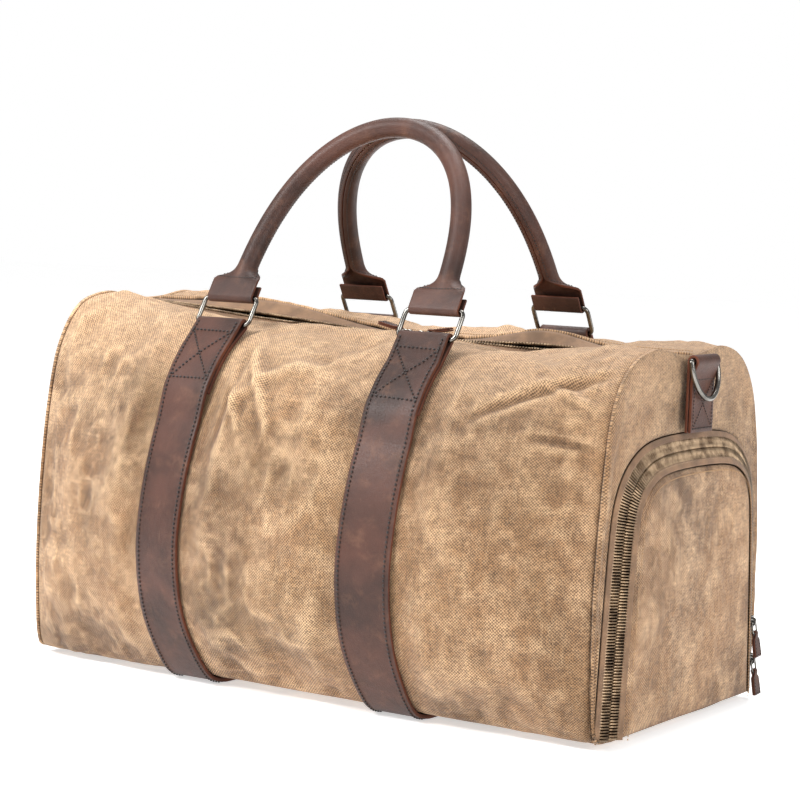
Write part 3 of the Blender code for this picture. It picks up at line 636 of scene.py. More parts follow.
def skin_off(x, t, distance):
    """(out, up) at a distance off the canvas surface."""
    step = 0.004
    tangent = skin(x, np.minimum(np.asarray(t) + step, 1)) - skin(x, np.maximum(np.asarray(t) - step, 0))
    tangent /= np.linalg.norm(tangent, axis=-1, keepdims=True)
    normal = np.stack((tangent[..., 1], -tangent[..., 0]), -1)
    return skin(x, t) + normal * np.asarray(distance)[..., None]


print("body", round(2 * BODY_HALF, 3), "m long,", round(float(2 * skin(0, 5 / 11)[0]), 3), "m at its widest")

# %% [markdown]
# Canvas folds come from three things. A cloth simulation lets a slightly oversized panel buckle
# between its seams, its straps and the zip. Long folds are then drawn where the bag pulls on its
# straps and sags at its ends. Last come small crumples, because waxed cloth keeps every crease.
# The simulation runs on a coarse copy of the panel and its shift is carried to the fine one.

# %% Folds
def cloud(rows, columns, cells_down, cells_across, seed):
    """Smooth random hills, [rows, columns], about -1 to 1."""
    values = np.random.default_rng(seed).normal(size=(cells_down + 2, cells_across + 2))
    down, across = np.linspace(0, cells_down, rows), np.linspace(0, cells_across, columns)
    i, j = np.minimum(down.astype(int), cells_down), np.minimum(across.astype(int), cells_across)
    f, g = down - i, across - j
    f, g = eased(f)[:, None], eased(g)[None]
    top = values[i][:, j] * (1 - g) + values[i][:, j + 1] * g
    low = values[i + 1][:, j] * (1 - g) + values[i + 1][:, j + 1] * g
    return (top * (1 - f) + low * f) * 0.7


def fold(x, z, start, stop, width, height, bend=0.0):
    """A crest with a valley on each side, from start to stop, fading at both ends."""
    along = np.array(stop) - np.array(start)
    length = np.hypot(*along)
    unit = along / length
    s = ((x - start[0]) * unit[0] + (z - start[1]) * unit[1]) / length
    d = (x - start[0]) * -unit[1] + (z - start[1]) * unit[0] - bend * 4 * s * (1 - s)
    fade = np.exp(-np.clip(np.abs(s - 0.5) / 0.5, 0, 3) ** 4)
    q = (d / width) ** 2
    return height * fade * (1 - 1.3 * q) * np.exp(-q)


def blurred(values, times=1):
    for _ in range(times):
        padded = np.pad(values, [(1, 1), (1, 1)] + [(0, 0)] * (values.ndim - 2), mode="edge")
        values = (padded[:-2, 1:-1] + padded[2:, 1:-1] + padded[1:-1, :-2] + padded[1:-1, 2:]
                  + 4 * values) / 8
    return values


def enlarged(values, rows, columns):
    """values [r, c, n] sampled up to [rows, columns, n]."""
    down, across = np.linspace(0, 1, values.shape[0]), np.linspace(0, 1, values.shape[1])
    tall = np.empty((rows,) + values.shape[1:])
    for c in range(values.shape[1]):
        for k in range(values.shape[2]):
            tall[:, c, k] = np.interp(np.linspace(0, 1, rows), down, values[:, c, k])
    wide = np.empty((rows, columns, values.shape[2]))
    for r in range(rows):
        for k in range(values.shape[2]):
            wide[r, :, k] = np.interp(np.linspace(0, 1, columns), across, tall[r, :, k])
    return wide


CLOTH_FRAMES = 26


def simulated_shift(points, pinned, grow, pressure, cap):
    """How far each point of a panel moves when it is let out by grow and blown by pressure."""
    rows, columns = points.shape[:2]
    obj = add("cloth_trial", grid_mesh("cloth_trial", points))
    group = obj.vertex_groups.new(name="pinned")
    for index, weight in enumerate(pinned.ravel()):
        if weight > 0:
            group.add([index], float(weight), "REPLACE")
    cloth = obj.modifiers.new("cloth", "CLOTH")
    settings = cloth.settings
    settings.quality, settings.mass, settings.air_damping = 6, 0.25, 3
    settings.tension_stiffness = settings.compression_stiffness = 14
    settings.shear_stiffness, settings.bending_stiffness = 8, 1.6
    settings.shrink_min = settings.shrink_max = -grow
    settings.vertex_group_mass, settings.pin_stiffness = "pinned", 1.0
    settings.use_pressure, settings.uniform_pressure_force = True, pressure
    settings.effector_weights.gravity = 0
    cloth.point_cache.frame_start, cloth.point_cache.frame_end = 1, CLOTH_FRAMES
    scene = bpy.context.scene
    for frame_number in range(1, CLOTH_FRAMES + 1):
        scene.frame_set(frame_number)
    ready = obj.evaluated_get(bpy.context.evaluated_depsgraph_get()).to_mesh()
    moved = np.empty(rows * columns * 3)
    ready.vertices.foreach_get("co", moved)
    scene.frame_set(1)
    mesh = obj.data
    bpy.data.objects.remove(obj, do_unlink=True)
    bpy.data.meshes.remove(mesh)
    shift = moved.reshape(rows, columns, 3) - points
    reach = np.linalg.norm(shift, axis=2, keepdims=True)
    return shift * np.minimum(1, cap / np.maximum(reach, 1e-9))


print("fold helpers ready")

# %% [markdown]
# The front and back panels run from the bottom seam, over the shoulder, to the zip. Where a strap
# lies, the canvas stays flat under it. At the end seams it is drawn in, which leaves a groove, and
# along the zip its hem waves a little between the stitches. In two places the top gapes: there the
# front hem sinks, the back hem stands up, and the zip between them tips towards the front.

# %% Front and back panels
FINE = (168, 250)             # rows and columns of a finished panel
COARSE = (56, 84)             # of its simulated copy
FRONT_FOLDS = [               # start (x, z), stop, width, height, bend
    ((-.066, .276), (-.006, .205), .0075, .0042, .004), ((-.068, .252), (-.028, .196), .0065, .0032, .003),
    ((-.050, .282), (.030, .235), .0090, .0020, -.006), ((-.226, .262), (-.214, .080), .0150, .0026, .010),
    ((-.186, .262), (-.196, .120), .0120, .0020, -.008), ((-.146, .240), (-.162, .130), .0110, .0018, .006),
    ((-.236, .150), (-.190, .030), .0120, .0020, -.008), ((.196, .250), (.255, .230), .0050, .0034, .003),
    ((.204, .212), (.256, .208), .0046, -.0034, .002), ((.160, .224), (.252, .260), .0060, -.0046, .003),
    ((.222, .250), (.236, .150), .0060, .0022, .004), ((-.054, .268), (-.050, .190), .0085, -.0040, .002),
    ((-.044, .215), (.012, .248), .0090, .0030, .008), ((.000, .130), (.058, .176), .0110, .0026, -.008),
    ((.215, .172), (.250, .120), .0080, .0020, .004), ((.150, .082), (.252, .062), .0095, .0021, .007),
    ((.170, .046), (.253, .042), .0070, .0018, -.003), ((.132, .150), (.180, .100), .0120, .0018, .008),
    ((-.060, .110), (.040, .140), .0150, .0024, .014), ((-.050, .050), (.050, .066), .0120, .0020, -.008),
    ((-.250, .066), (-.160, .036), .0100, .0020, .006), ((.068, .264), (.020, .205), .0085, .0024, -.006),
    ((-.060, .180), (.010, .160), .0130, .0020, .008), ((.066, .110), (.030, .040), .0100, .0018, .006)]
LET_OUT, PRESSURE, SHIFT_CAP = 0.030, 2.2, 0.010
SHARP_FOLD = 0.0030           # folds this high are creased; lower ones are soft swells
BACK_FOLDS = [((-x0, z0), (-x1, z1), w, h * 0.9, -b) for (x0, z0), (x1, z1), w, h, b in FRONT_FOLDS]


def strap_distance(x):
    """How far x is outside the nearer strap's edge; negative under it."""
    return np.minimum(np.abs(x - STRAP_X), np.abs(x + STRAP_X)) - STRAP_WIDTH / 2


def panel_grid(side, rows, columns):
    t = np.linspace(BOTTOM_T, 1, rows)[:, None]
    x = np.linspace(-BODY_HALF, BODY_HALF, columns)[None]
    line = skin(x, t)
    x, t = np.broadcast_arrays(x, t)
    points = np.stack((x, side * line[..., 0], line[..., 1]), -1)
    down, across = np.gradient(points, axis=0), np.gradient(points, axis=1)
    normal = np.cross(across, down) * -side
    return points, normal / np.linalg.norm(normal, axis=2, keepdims=True), x, t


def free_area(x, t, start=0.004, stop=0.030):
    """0 at the seams, the zip and under the straps, 1 in the open canvas."""

    def open_up(distance, low, high):
        return eased(np.clip((distance - low) / (high - low), 0, 1))
    clear_of_straps = lerp(open_up(strap_distance(x), start, stop), 1, open_up(t, 0.78, 0.90))
    return (clear_of_straps * open_up(BODY_HALF - np.abs(x), 0.0, 0.022)
            * open_up(t - BOTTOM_T, 0.0, 0.09) * open_up(1 - t, 0.015, 0.09))


GAPES = (-0.130, 0.080), (0.128, 0.046)      # middle and width of each gape
ZIP_TIP = 1.1                                # slope of the tipped zip


def zip_gape(x):
    """Where the bag's top gapes, so that the zip tips towards the front: 1 there, 0 elsewhere."""
    return sum(hump(x - middle, width) for middle, width in GAPES)


def side_panel(name, side, folds, seed, *replaced):
    points, normal, x, t = panel_grid(side, *FINE)
    free = free_area(x, t)
    z = points[..., 2]
    shift = np.zeros_like(points)
    trial, _, coarse_x, coarse_t = panel_grid(side, *COARSE)
    pinned = 1 - free_area(coarse_x, coarse_t, 0.001, 0.012)
    pinned[:2] = pinned[-2:] = 1
    order = slice(None) if side < 0 else slice(None, None, -1)
    moved = simulated_shift(trial[:, order], np.where(pinned > 0.35, 1, 0)[:, order],
                            LET_OUT, PRESSURE, SHIFT_CAP)
    shift = blurred(enlarged(blurred(moved[:, order], 1), *FINE), 4)
    lift = np.zeros(FINE)
    for start, stop, width, height, bend in folds:
        sharp = abs(height) >= SHARP_FOLD
        wider, lower = (0.80, 1.0) if sharp else (1.3, 0.6)
        lift += fold(x, z, start, stop, width * wider, height * lower, bend)
    broad = cloud(*FINE, 5, 8, seed) * 0.0030 + cloud(*FINE, 11, 17, seed + 1) * 0.0014
    crumple = 0.32 - np.abs(cloud(*FINE, 22, 34, seed + 2))
    fine = 0.30 - np.abs(cloud(*FINE, 46, 70, seed + 3))
    relief = (lift + broad + crumple * 0.0016 + fine * 0.0006) * free
    # where the top gapes, the front shoulder and hem sink and the back hem stands up behind the zip
    sink, rise = (0.0090, -0.0062) if side < 0 else (0.0020, 0.0110)
    lip = hump(1 - t, 0.035) * zip_gape(x)
    relief += hump(t - 0.92, 0.060) * (0.0030 * hump(x - 0.035, 0.030) - sink * zip_gape(x)) + lip * rise
    # seams draw the cloth in
    relief -= 0.0026 * hump(BODY_HALF - np.abs(x), 0.0032) + 0.0016 * hump(t - BOTTOM_T, 0.010)
    puckers = np.sin(x * 2 * np.pi / 0.021 + cloud(*FINE, 2, 24, seed + 4) * 3)
    relief += hump(1 - t, 0.030) * (cloud(*FINE, 2, 20, seed + 5) * 0.0007 + puckers * 0.0002)
    out = points + shift * free[..., None] + normal * relief[..., None]
    if side < 0:
        out[..., 1] -= 0.0040 * lip
    # no canvas stands out through a strap
    under = np.clip(1 - strap_distance(x) / 0.004, 0, 1) * (t < 0.90)
    proud = ((out - points) * normal).sum(2)
    out -= normal * (under * np.maximum(proud + 0.0004, 0))[..., None]
    height = ((out - points) * normal).sum(2)
    crest = height - blurred(height, 14)
    # below zero in the valleys, which the canvas finish darkens as painted shade
    wear = np.clip(crest / 0.0011, -1, 1) * free
    if side > 0:
        out, wear = out[:, ::-1], wear[:, ::-1]
    obj = sheet(name, out, CANVAS, CANVAS_SIDES, wear=wear)
    piece = bake(obj, "bag", *replaced, slot="canvas")
    print(name, len(piece.data.vertices), "vertices, folds up to",
          round(float(np.abs(height).max()) * 1000, 1), "mm")
    return out if side < 0 else out[:, ::-1]


front_surface = side_panel("canvas_front", -1, FRONT_FOLDS, 11, "front_panel")
back_surface = side_panel("canvas_back", 1, BACK_FOLDS, 47, "back_panel")

# %% [markdown]
# The bottom is one flat panel over the base board. Its seams with the sides lie just inside the
# bag's lower edge, and the canvas bellies a little between the straps.

# %% Bottom panel
def bottom_panel():
    rows, columns = 60, 150
    t = np.linspace(-(BOTTOM_T - 0.004), BOTTOM_T - 0.004, rows)[:, None]
    x = np.linspace(-BODY_HALF, BODY_HALF, columns)[None]
    line = skin(x, np.abs(t))
    x, t = np.broadcast_arrays(x, t)
    free = np.clip(strap_distance(x) / 0.02, 0, 1) * np.clip((0.17 - np.abs(t)) / 0.05, 0, 1)
    sag = free * (0.0010 + cloud(rows, columns, 6, 16, 5) * 0.0009)
    points = np.stack((x, -np.sign(t) * line[..., 0], line[..., 1] - sag), -1)
    points[..., 2] = np.maximum(points[..., 2], 0.0008)
    wear = np.clip(cloud(rows, columns, 12, 30, 6) * 0.5, -1, 1)
    return bake(sheet("canvas_bottom", points, CANVAS, CANVAS_SIDES, wear=wear),
                "bag", "bottom_panel", slot="canvas")


print("bottom panel", len(bottom_panel().data.vertices), "vertices")

# %% [markdown]
# The ends are sewn to the sides all the way round. The left one is a plain panel that bulges. The
# right one is a frame round the door of the shoe compartment, which has its own D-shaped panel.
# Rings of points that shrink from the outline to the middle make both, with the folds running in
# from the seam.

# %% End panels and the door
END_FACE = BODY_HALF + GAP
TRACK_X = 0.2630
TRACK_FOOT, TRACK_KNEE = (.117, .014), (.108, .150)
TRACK = [(-.1175, .0085), (-.108, .150), (-.101, .177), (-.084, .195), (-.057, .205), (0, .207),
         (.057, .205), (.084, .195), (.101, .177), (.108, .150), (.1175, .0085)]
DOOR_BOTTOM_Z = 0.009
ZIP_INSET = 0.002             # least room between the zip and the bag's side
ZIP_SUNK = 0.0004             # the tapes and the panels' edges lie this far under the track
SEAM_GAP = 0.0010
FRAME_EDGE, DOOR_EDGE = 0.0092, -0.0142      # the tapes' sewn edges, off the zip's track
CHAIN_MIDDLE, CHAIN_HALF = -0.0024, 0.0072   # the chain lies a little towards the door
DOOR_SLOPE = 0.42             # the zip's tapes rise towards the door, which stands proud


def end_outline(end, count=200):
    """The body's section at one end: closed (y, z), from the front bottom corner over the top."""
    x = end * BODY_HALF
    upper = skin(x, np.linspace(BOTTOM_T, 1, 60))
    lower = skin(x, np.linspace(BOTTOM_T, 0, 12))[1:]
    crest = [(0, ZIP_Z + 0.0008 + float(zip_lift(x)))]
    front = (-1, 1)
    ring = np.vstack((upper * front, crest, upper[::-1], lower, (lower * front)[::-1][1:], upper[:1] * front))
    return evenly(ring, travelled(ring)[-1] / count)


def track_line(distance, step=0.003):
    """The D-shaped zip's centre line (y, z), moved outwards by distance but kept inside the bag."""
    line = evenly(round_corners(TRACK, 3), step)
    line = line + sideways(line) * distance
    side = skin(BODY_HALF, np.linspace(BOTTOM_T, 0.5, 40)) - (ZIP_INSET, 0)
    limit = np.interp(line[:, 1], side[:, 1], side[:, 0])
    line[:, 0] = np.clip(line[:, 0], -limit, limit)
    return line


CAP_RINGS, CAP_HOLE = 46, 0.004              # rings of points, and the hole that is filled last
CREASES, CROWN_CORNER = 13, 4                # creases from the seam, and how square the crown is


def radial_cap(name, outline, centre, end, face, rise, seed, body, *replaced, seam=0.0022):
    """A crowned, folded cap over a closed outline, thickened inwards."""
    depth, around = CAP_RINGS, len(outline) - 1
    r = np.linspace(1, CAP_HOLE, depth)[:, None]
    y = centre[0] + (outline[None, :-1, 0] - centre[0]) * r
    z = centre[1] + (outline[None, :-1, 1] - centre[1]) * r
    fade = np.clip(r / 0.10, 0, 1) ** 2 * np.clip((1 - r) / 0.12, 0, 1)
    angle = np.linspace(0, 2 * np.pi, around, endpoint=False)[None]
    rng = np.random.default_rng(seed)
    relief = np.zeros((depth, around))
    for _ in range(CREASES):
        where, width = rng.uniform(0, 2 * np.pi), rng.uniform(0.08, 0.20)
        height = rng.uniform(0.0006, 0.0016)
        gap = np.angle(np.exp(1j * (angle - where + rng.uniform(-0.5, 0.5) * (1 - r))))
        relief += height * hump(gap, width) * r ** 1.2

    def waves(count, turns):
        return sum(rng.uniform(0.3, 1) * np.sin(k1 * y * turns + k2 * z * turns + rng.uniform(0, 6))
                   for k1, k2 in rng.normal(size=(count, 2)))

    wave, ripple = waves(9, 60), waves(12, 240)
    relief = (relief + wave * 0.0005 + (0.6 - np.abs(ripple * 0.3)) * 0.0006) * fade
    u = (y - centre[0]) / np.abs(outline[:, 0] - centre[0]).max()
    v = (z - centre[1]) / np.abs(outline[:, 1] - centre[1]).max()
    soft = np.minimum((u ** CROWN_CORNER + v ** CROWN_CORNER) ** (1 / CROWN_CORNER), 1)
    reach = soft + (r - soft) * r ** 8
    x = face + rise * (1 - reach ** 2) + relief - seam * hump(1 - r, 0.03)
    wear = np.clip((relief - blurred(relief, 8)) / 0.0009, -1, 1)
    points = np.stack((end * x, y, z), -1)
    if end > 0:
        points, wear = points[:, ::-1], wear[:, ::-1]
    obj = sheet(name, points, CANVAS, CANVAS_SIDES, wrap=True, wear=wear, flat=True)
    build = bmesh.new()
    build.from_mesh(obj.data)
    inner = [e for e in build.edges if e.is_boundary and
             math.hypot(e.verts[0].co.y - centre[0], e.verts[0].co.z - centre[1]) < 0.004]
    bmesh.ops.edgeloop_fill(build, edges=inner)
    bmesh.ops.recalc_face_normals(build, faces=build.faces)
    if sum(f.normal.x * f.calc_area() for f in build.faces) * end < 0:
        bmesh.ops.reverse_faces(build, faces=build.faces)
    build.to_mesh(obj.data)
    build.free()
    obj.data.shade_smooth()
    return bake(obj, body, *replaced, slot="canvas")


FRAME_OVER, FRAME_UNDER = 151, 51            # points over the arch and under the door


def right_frame():
    """The canvas between the end seam and the door's zip."""
    sill = DOOR_BOTTOM_Z - SEAM_GAP
    arch = track_line(FRAME_EDGE + SEAM_GAP)
    arch = arch[arch[:, 1] > sill + 0.001]
    arch = np.vstack(((arch[0, 0], sill), arch, (arch[-1, 0], sill)))
    outline = end_outline(1, 260)
    foot = int(np.argmin(np.hypot(outline[30:, 0] - 0.116, outline[30:, 1] - 0.0045))) + 30
    over, under = outline[:foot + 1], outline[foot:]

    outer = np.vstack((sampled(over, FRAME_OVER), sampled(under, FRAME_UNDER)[1:-1]))
    inner = np.vstack((sampled(arch, FRAME_OVER), sampled(arch[[-1, 0]], FRAME_UNDER)[1:-1]))
    depth = 18
    f = np.linspace(0, 1, depth)[:, None]
    y = lerp(outer[None, :, 0], inner[None, :, 0], f)
    z = lerp(outer[None, :, 1], inner[None, :, 1], f)
    hills = cloud(depth, len(outer), 3, 26, 71)
    hills[:, -12:] = hills[:, -12:] * np.linspace(1, 0, 12) + hills[:, :1] * np.linspace(0, 1, 12)
    fine = 0.3 - np.abs(cloud(depth, len(outer), 6, 70, 73))
    free = np.sin(np.pi * f) ** 0.8
    relief = (hills * 0.0012 + fine * 0.0006) * free * np.clip((z - 0.008) / 0.01, 0, 1)
    x = lerp(END_FACE + CANVAS, TRACK_X - ZIP_SUNK - FRAME_EDGE * DOOR_SLOPE, f) + relief
    x -= 0.0016 * hump(f, 0.10)
    wear = np.clip((relief - blurred(relief, 6)) / 0.0005, -1, 1)
    points = np.stack((x, y, z), -1)
    return bake(sheet("canvas_end_right", points[:, ::-1], CANVAS, CANVAS_SIDES,
                      wrap=True, wear=wear[:, ::-1], flat=True), "bag", "right_end_panel", slot="canvas")


def door_outline():
    edge = track_line(DOOR_EDGE - SEAM_GAP)
    edge = edge[edge[:, 1] > DOOR_BOTTOM_Z + 0.001]
    floor_line = np.linspace(edge[-1, 0], edge[0, 0], 60)
    sill = np.stack((floor_line, np.full(60, DOOR_BOTTOM_Z)), 1)
    return np.vstack((edge, sill, edge[:1]))


radial_cap("canvas_end_left", end_outline(-1), (0, 0.13), -1, END_FACE + CANVAS, 0.0060, 21, "bag",
           "left_end_panel")
radial_cap("canvas_door", door_outline(), (0, 0.10), 1, TRACK_X - ZIP_SUNK - DOOR_EDGE * DOOR_SLOPE, 0.0040, 33,
           "shoe_door", "shoe_door_panel", seam=0.0006)
print("right frame", len(right_frame().data.vertices), "vertices")

# %% [markdown]
# Each strap is one length of leather that runs under the bag. At both ends it folds over a ring's
# bar and tucks back behind itself, so it is double there, and a stitched box with a cross holds it.
# The path is drawn at each side edge of the strap and the leather grows outwards from it.

# %% Straps
RING_WIRE, LOOP_CLEAR = 0.0018, 0.0004
BAR = np.array((0.104, 0.277))               # ring's lower bar (out, up)
DOUBLE = (0.6819, 0.7727)                    # section parameters where the strap is double
BOX_DOWN = (0.0130, 0.0585)                  # the stitched box's top and bottom, below the ring


def half_strap(x):
    """(out, up) of the leather's inner face from its tucked end, round the bar and down to the floor."""
    under = np.linspace(DOUBLE[0], DOUBLE[1], 7)
    single = np.linspace(0.640, 0, 60)
    tucked = skin_off(x, under, STRAP_GAP + STRAP_THICK)
    leave = skin_off(x, DOUBLE[1], STRAP_THICK + STRAP_GAP)
    rise = (BAR - leave) / np.linalg.norm(BAR - leave)
    outward = np.array((rise[1], -rise[0]))
    turn = np.radians(np.arange(180, -1, -15))[:, None]
    loop = BAR + (np.cos(turn) * outward + np.sin(turn) * rise) * (RING_WIRE + LOOP_CLEAR)
    over = skin_off(x, under[::-1], STRAP_THICK + 2 * STRAP_GAP)
    main = skin_off(x, single, STRAP_GAP)
    return tucked, loop, over, main


def strap(name, centre):
    columns = []
    for x in np.linspace(centre - STRAP_WIDTH / 2, centre + STRAP_WIDTH / 2, 9):
        tucked, loop, over, main = half_strap(x)
        joined = evenly(round_corners(np.vstack((over, main)), 2), 0.0022)
        path = np.vstack((tucked, loop, joined))
        front = np.stack((np.full(len(path), x), -path[:, 0], path[:, 1]), 1)
        columns.append(front)
    shortest = min(len(c) for c in columns)
    columns = [np.vstack((c[:20], sampled(c[20:], shortest - 20))) for c in columns]
    front = np.stack(columns, 1)
    back = (front * (1, -1, 1))[::-1]
    points = np.vstack((front, back[1:]))
    piece = bake(sheet(name, points, STRAP_THICK, LEATHER_SIDES, edge=0.0005),
                 "bag", name, slot="leather")
    return piece


STITCH_LIFT = 0.0005


def outer_line(x):
    """The strap's outer face at x, from just under the ring to the floor, (out, up)."""
    _, loop, over, main = half_strap(x)
    path = evenly(round_corners(np.vstack((loop[-3:], over, main)), 2), 0.002)
    return path + sideways(path) * (STRAP_THICK + STITCH_LIFT)


def box_point(x, down, side):
    """A point on the strap's face, a distance down from its ring."""
    line = outer_line(x)
    reach = travelled(line)
    return x, side * np.interp(down, reach, line[:, 0]), np.interp(down, reach, line[:, 1])


def strap_stitches(name, centre):
    inset = STRAP_WIDTH / 2 - 0.0032
    lines = []
    for side in (-1, 1):
        for x in (centre - inset, centre + inset):
            line = outer_line(x)
            lines.append([(x, side * out, up) for out, up in line[2:-6]])
        low, high = BOX_DOWN
        f = np.linspace(0, 1, 14)
        for down in (low, high):
            lines.append([box_point(lerp(centre - inset, centre + inset, k), down, side) for k in f])
        for a, b in ((-1, 1), (1, -1)):
            lines.append([box_point(centre + lerp(a, b, k) * inset, lerp(low, high, k), side) for k in f])
    return stitches(name, lines, "bag", "leather", facing=(0, 1, 0.2))


for word, centre in (("left", -STRAP_X), ("right", STRAP_X)):
    made = strap("strap_" + word, centre)
    print(made.name, len(made.data.vertices), "vertices")
    strap_stitches("strap_stitches_" + word, centre)

# %% [markdown]
# The rings are rectangles of round steel wire with small corner radii. Each stands on its lower bar,
# in the strap's loop, and carries the handle's tab on its upper bar. Both lean in towards the zip.

# %% Rings
RING_WIDTH, RING_HEIGHT, RING_CORNER = 0.050, 0.024, 0.0046
LEAN = math.radians(30)


def leaning(side):
    """Directions up the leaning handle and outwards from the bag, and the ring's lower bar."""
    up = np.array((0, -side * math.sin(LEAN), math.cos(LEAN)))
    outward = np.array((0, side * math.cos(LEAN), math.sin(LEAN)))
    return np.array((0, side * BAR[0], BAR[1])), up, outward


def rounded_rectangle(width, height, corner, steps=8):
    points = []
    for a, b, start in ((1, 0, -90), (1, 1, 0), (-1, 1, 90), (-1, 0, 180)):
        middle = (a * (width / 2 - corner), corner if b == 0 else height - corner)
        for k in range(steps + 1):
            angle = math.radians(start + 90 * k / steps)
            points.append((middle[0] + corner * math.cos(angle), middle[1] + corner * math.sin(angle)))
    return np.array(points)


def closed_evenly(outline, step):
    return evenly(np.vstack((outline, outline[:1])), step)[:-1]


for side, face in ((-1, "front"), (1, "back")):
    lower, up, outward = leaning(side)
    for word, x in (("left", -STRAP_X), ("right", STRAP_X)):
        name = "ring_%s_%s" % (face, word)
        outline = closed_evenly(rounded_rectangle(RING_WIDTH, RING_HEIGHT, RING_CORNER), 0.0011)
        points = [lower + (x + a, 0, 0) + up * b for a, b in outline]
        bake(wire(name, points, RING_WIRE, STEEL), name, name, slot="ring_metal")
print("four rings of", RING_WIRE * 2000, "mm wire")

# %% [markdown]
# A handle is one strip of leather. Each end folds round its ring as a flat tab. Above the tab the
# strip rolls up round a rope, and its two raw edges meet and are sewn on the side that faces the
# other handle. The rolling is a rule: the strip's curl grows from nothing to a full turn with height.

# %% Handles
HANDLE_HEIGHT, HANDLE_POWER = 0.1598, 2.6
HANDLE_LEATHER, HANDLE_TUBE = 0.002, 0.0069
FLARE, TAB_FOLD = (0.013, 0.034), (0.006, 0.0115)
ACROSS = 26


def handle_arch(step):
    angle = np.radians(np.linspace(-90, 90, 721))
    height = HANDLE_HEIGHT * np.maximum(np.cos(angle), 0) ** (2 / HANDLE_POWER)
    line = np.stack((STRAP_X * np.sin(angle), height), 1)
    return evenly(line[height >= FLARE[0]], step)


def handle_points(side):
    """The strip's inner face [rows, columns, 3], and how many rows each tab has."""
    lower, up, outward = leaning(side)
    top = lower + up * RING_HEIGHT
    stations = np.linspace(-STRAP_WIDTH / 2, STRAP_WIDTH / 2, ACROSS)
    loop = RING_WIRE + LOOP_CLEAR
    tab = [(TAB_FOLD[1], -loop), (0.009, -loop), (TAB_FOLD[0], -loop), (0.003, -loop)]
    tab += [(-loop * math.cos(a), loop * math.sin(a)) for a in np.radians(np.arange(-90, 91, 15))]
    tab += [(0.003, loop), (TAB_FOLD[0], loop), (0.0095, loop)]
    arch = handle_arch(0.0024)
    tube = HANDLE_TUBE - HANDLE_LEATHER / 2

    def tab_rows(x):
        return [[top + (x - s, 0, 0) + up * h + outward * o for s in stations] for h, o in tab]

    rows = tab_rows(-STRAP_X)
    for (x, height), (left, above) in zip(arch, sideways(arch)):
        across = np.array((left, 0, 0)) + up * above
        rolled = min(max((height - FLARE[0]) / (FLARE[1] - FLARE[0]), 0), 1)
        rolled = eased(rolled)
        curl = max(rolled, 1e-3) * 0.994 * math.pi / (STRAP_WIDTH / 2)
        radius = 1 / curl
        shrink = 1 - rolled * (1 - tube * curl)
        rows.append([top + (x, 0, 0) + up * height + across * math.sin(s * curl) * radius * shrink
                     + outward * (loop - (1 - math.cos(s * curl)) * radius * shrink) for s in stations])
    rows += [row[::-1] for row in tab_rows(STRAP_X)[::-1]]
    return np.array(rows), len(tab)


def handle(name, side):
    points, _ = handle_points(side)
    if side > 0:
        points = points[:, ::-1]
    return bake(sheet(name, points, HANDLE_LEATHER, LEATHER_SIDES, edge=0.0004),
                name, name, slot="leather")


def handle_stitches(name, side, body):
    points, tab = handle_points(side)
    down, across = np.gradient(points, axis=0), np.gradient(points, axis=1)
    normal = np.cross(across, down)
    normal /= np.linalg.norm(normal, axis=2, keepdims=True)
    outward = leaning(side)[2]
    if (normal[tab + 1, ACROSS // 2] * outward).sum() < 0:
        normal = -normal
    face = points + normal * (HANDLE_LEATHER + 0.0001)
    rows = len(points)
    lines = []
    for column in (2, ACROSS - 3):
        lines.append(face[tab + 2:rows - tab - 2, column])
    for start in (tab + 1, rows - tab - 2):
        lines.append(face[start, 2:-2])
    return stitches(name, lines, body, "leather", facing=tuple(outward), small=True)


for side, face in ((-1, "front"), (1, "back")):
    made = handle("handle_" + face, side)
    handle_stitches("handle_stitches_" + face, side, "handle_" + face)
    print(made.name, len(made.data.vertices), "vertices")
for node in ("handle_core_front", "handle_core_back"):
    dress(node, ROPE)

# %% [markdown]
# A D-ring hangs from a folded leather tab at each end. The tab's two layers are sewn together below
# the fold, in a box with a cross like the straps'.

# %% D-rings and their tabs
D_BAR_X, D_BAR_Z = 0.2683, 0.2690
D_WIRE, D_WIDTH, D_HEIGHT, D_CORNER = 0.002, 0.0452, 0.030, 0.004
D_TILT = math.radians(11)
TAB_WIDTH, TAB_THICK = 0.036, 0.0022
TAB_BOTTOM_Z, TAB_MIDDLE_Z, TAB_SEWN_Z = 0.217, 0.243, 0.258


def d_tab(name, end, body):
    radius = D_WIRE + LOOP_CLEAR
    back, front, sewn = D_BAR_X - radius, D_BAR_X + radius, D_BAR_X - radius + 2 * GAP
    turn = np.radians(np.arange(180, -1, -15))
    fold_line = np.stack((D_BAR_X + radius * np.cos(turn), D_BAR_Z + radius * np.sin(turn)), 1)
    inner = [(back, z) for z in np.linspace(TAB_BOTTOM_Z, D_BAR_Z - 0.001, 16)]
    outer = round_corners([(front, D_BAR_Z - 0.001), (sewn, TAB_SEWN_Z), (sewn, TAB_MIDDLE_Z),
                           (sewn, TAB_BOTTOM_Z)], 3)
    outer = evenly(outer, 0.0025)
    path = np.vstack((inner, fold_line, outer))
    y = np.linspace(-TAB_WIDTH / 2, TAB_WIDTH / 2, 13)
    points = np.array([[(end * x, k, z) for k in y] for x, z in path])
    if end < 0:
        points = points[:, ::-1]
    made = bake(sheet(name, points, TAB_THICK, LEATHER_SIDES, edge=0.0004), body, name,
                slot="leather")
    face = end * (sewn + TAB_THICK + 0.0002)
    wide = TAB_WIDTH / 2 - 0.003
    low, high = TAB_BOTTOM_Z + 0.003, 0.2555
    corners = [(-wide, low), (wide, low), (wide, high), (-wide, high), (-wide, low)]
    lines = [[(face, *a), (face, *b)] for a, b in zip(corners, corners[1:])]
    lines += [[(face, -wide, low), (face, wide, high)], [(face, -wide, high), (face, wide, low)]]
    stitches(name + "_stitches", lines, body, "leather", facing=(end, 0, 0), small=True)
    return made


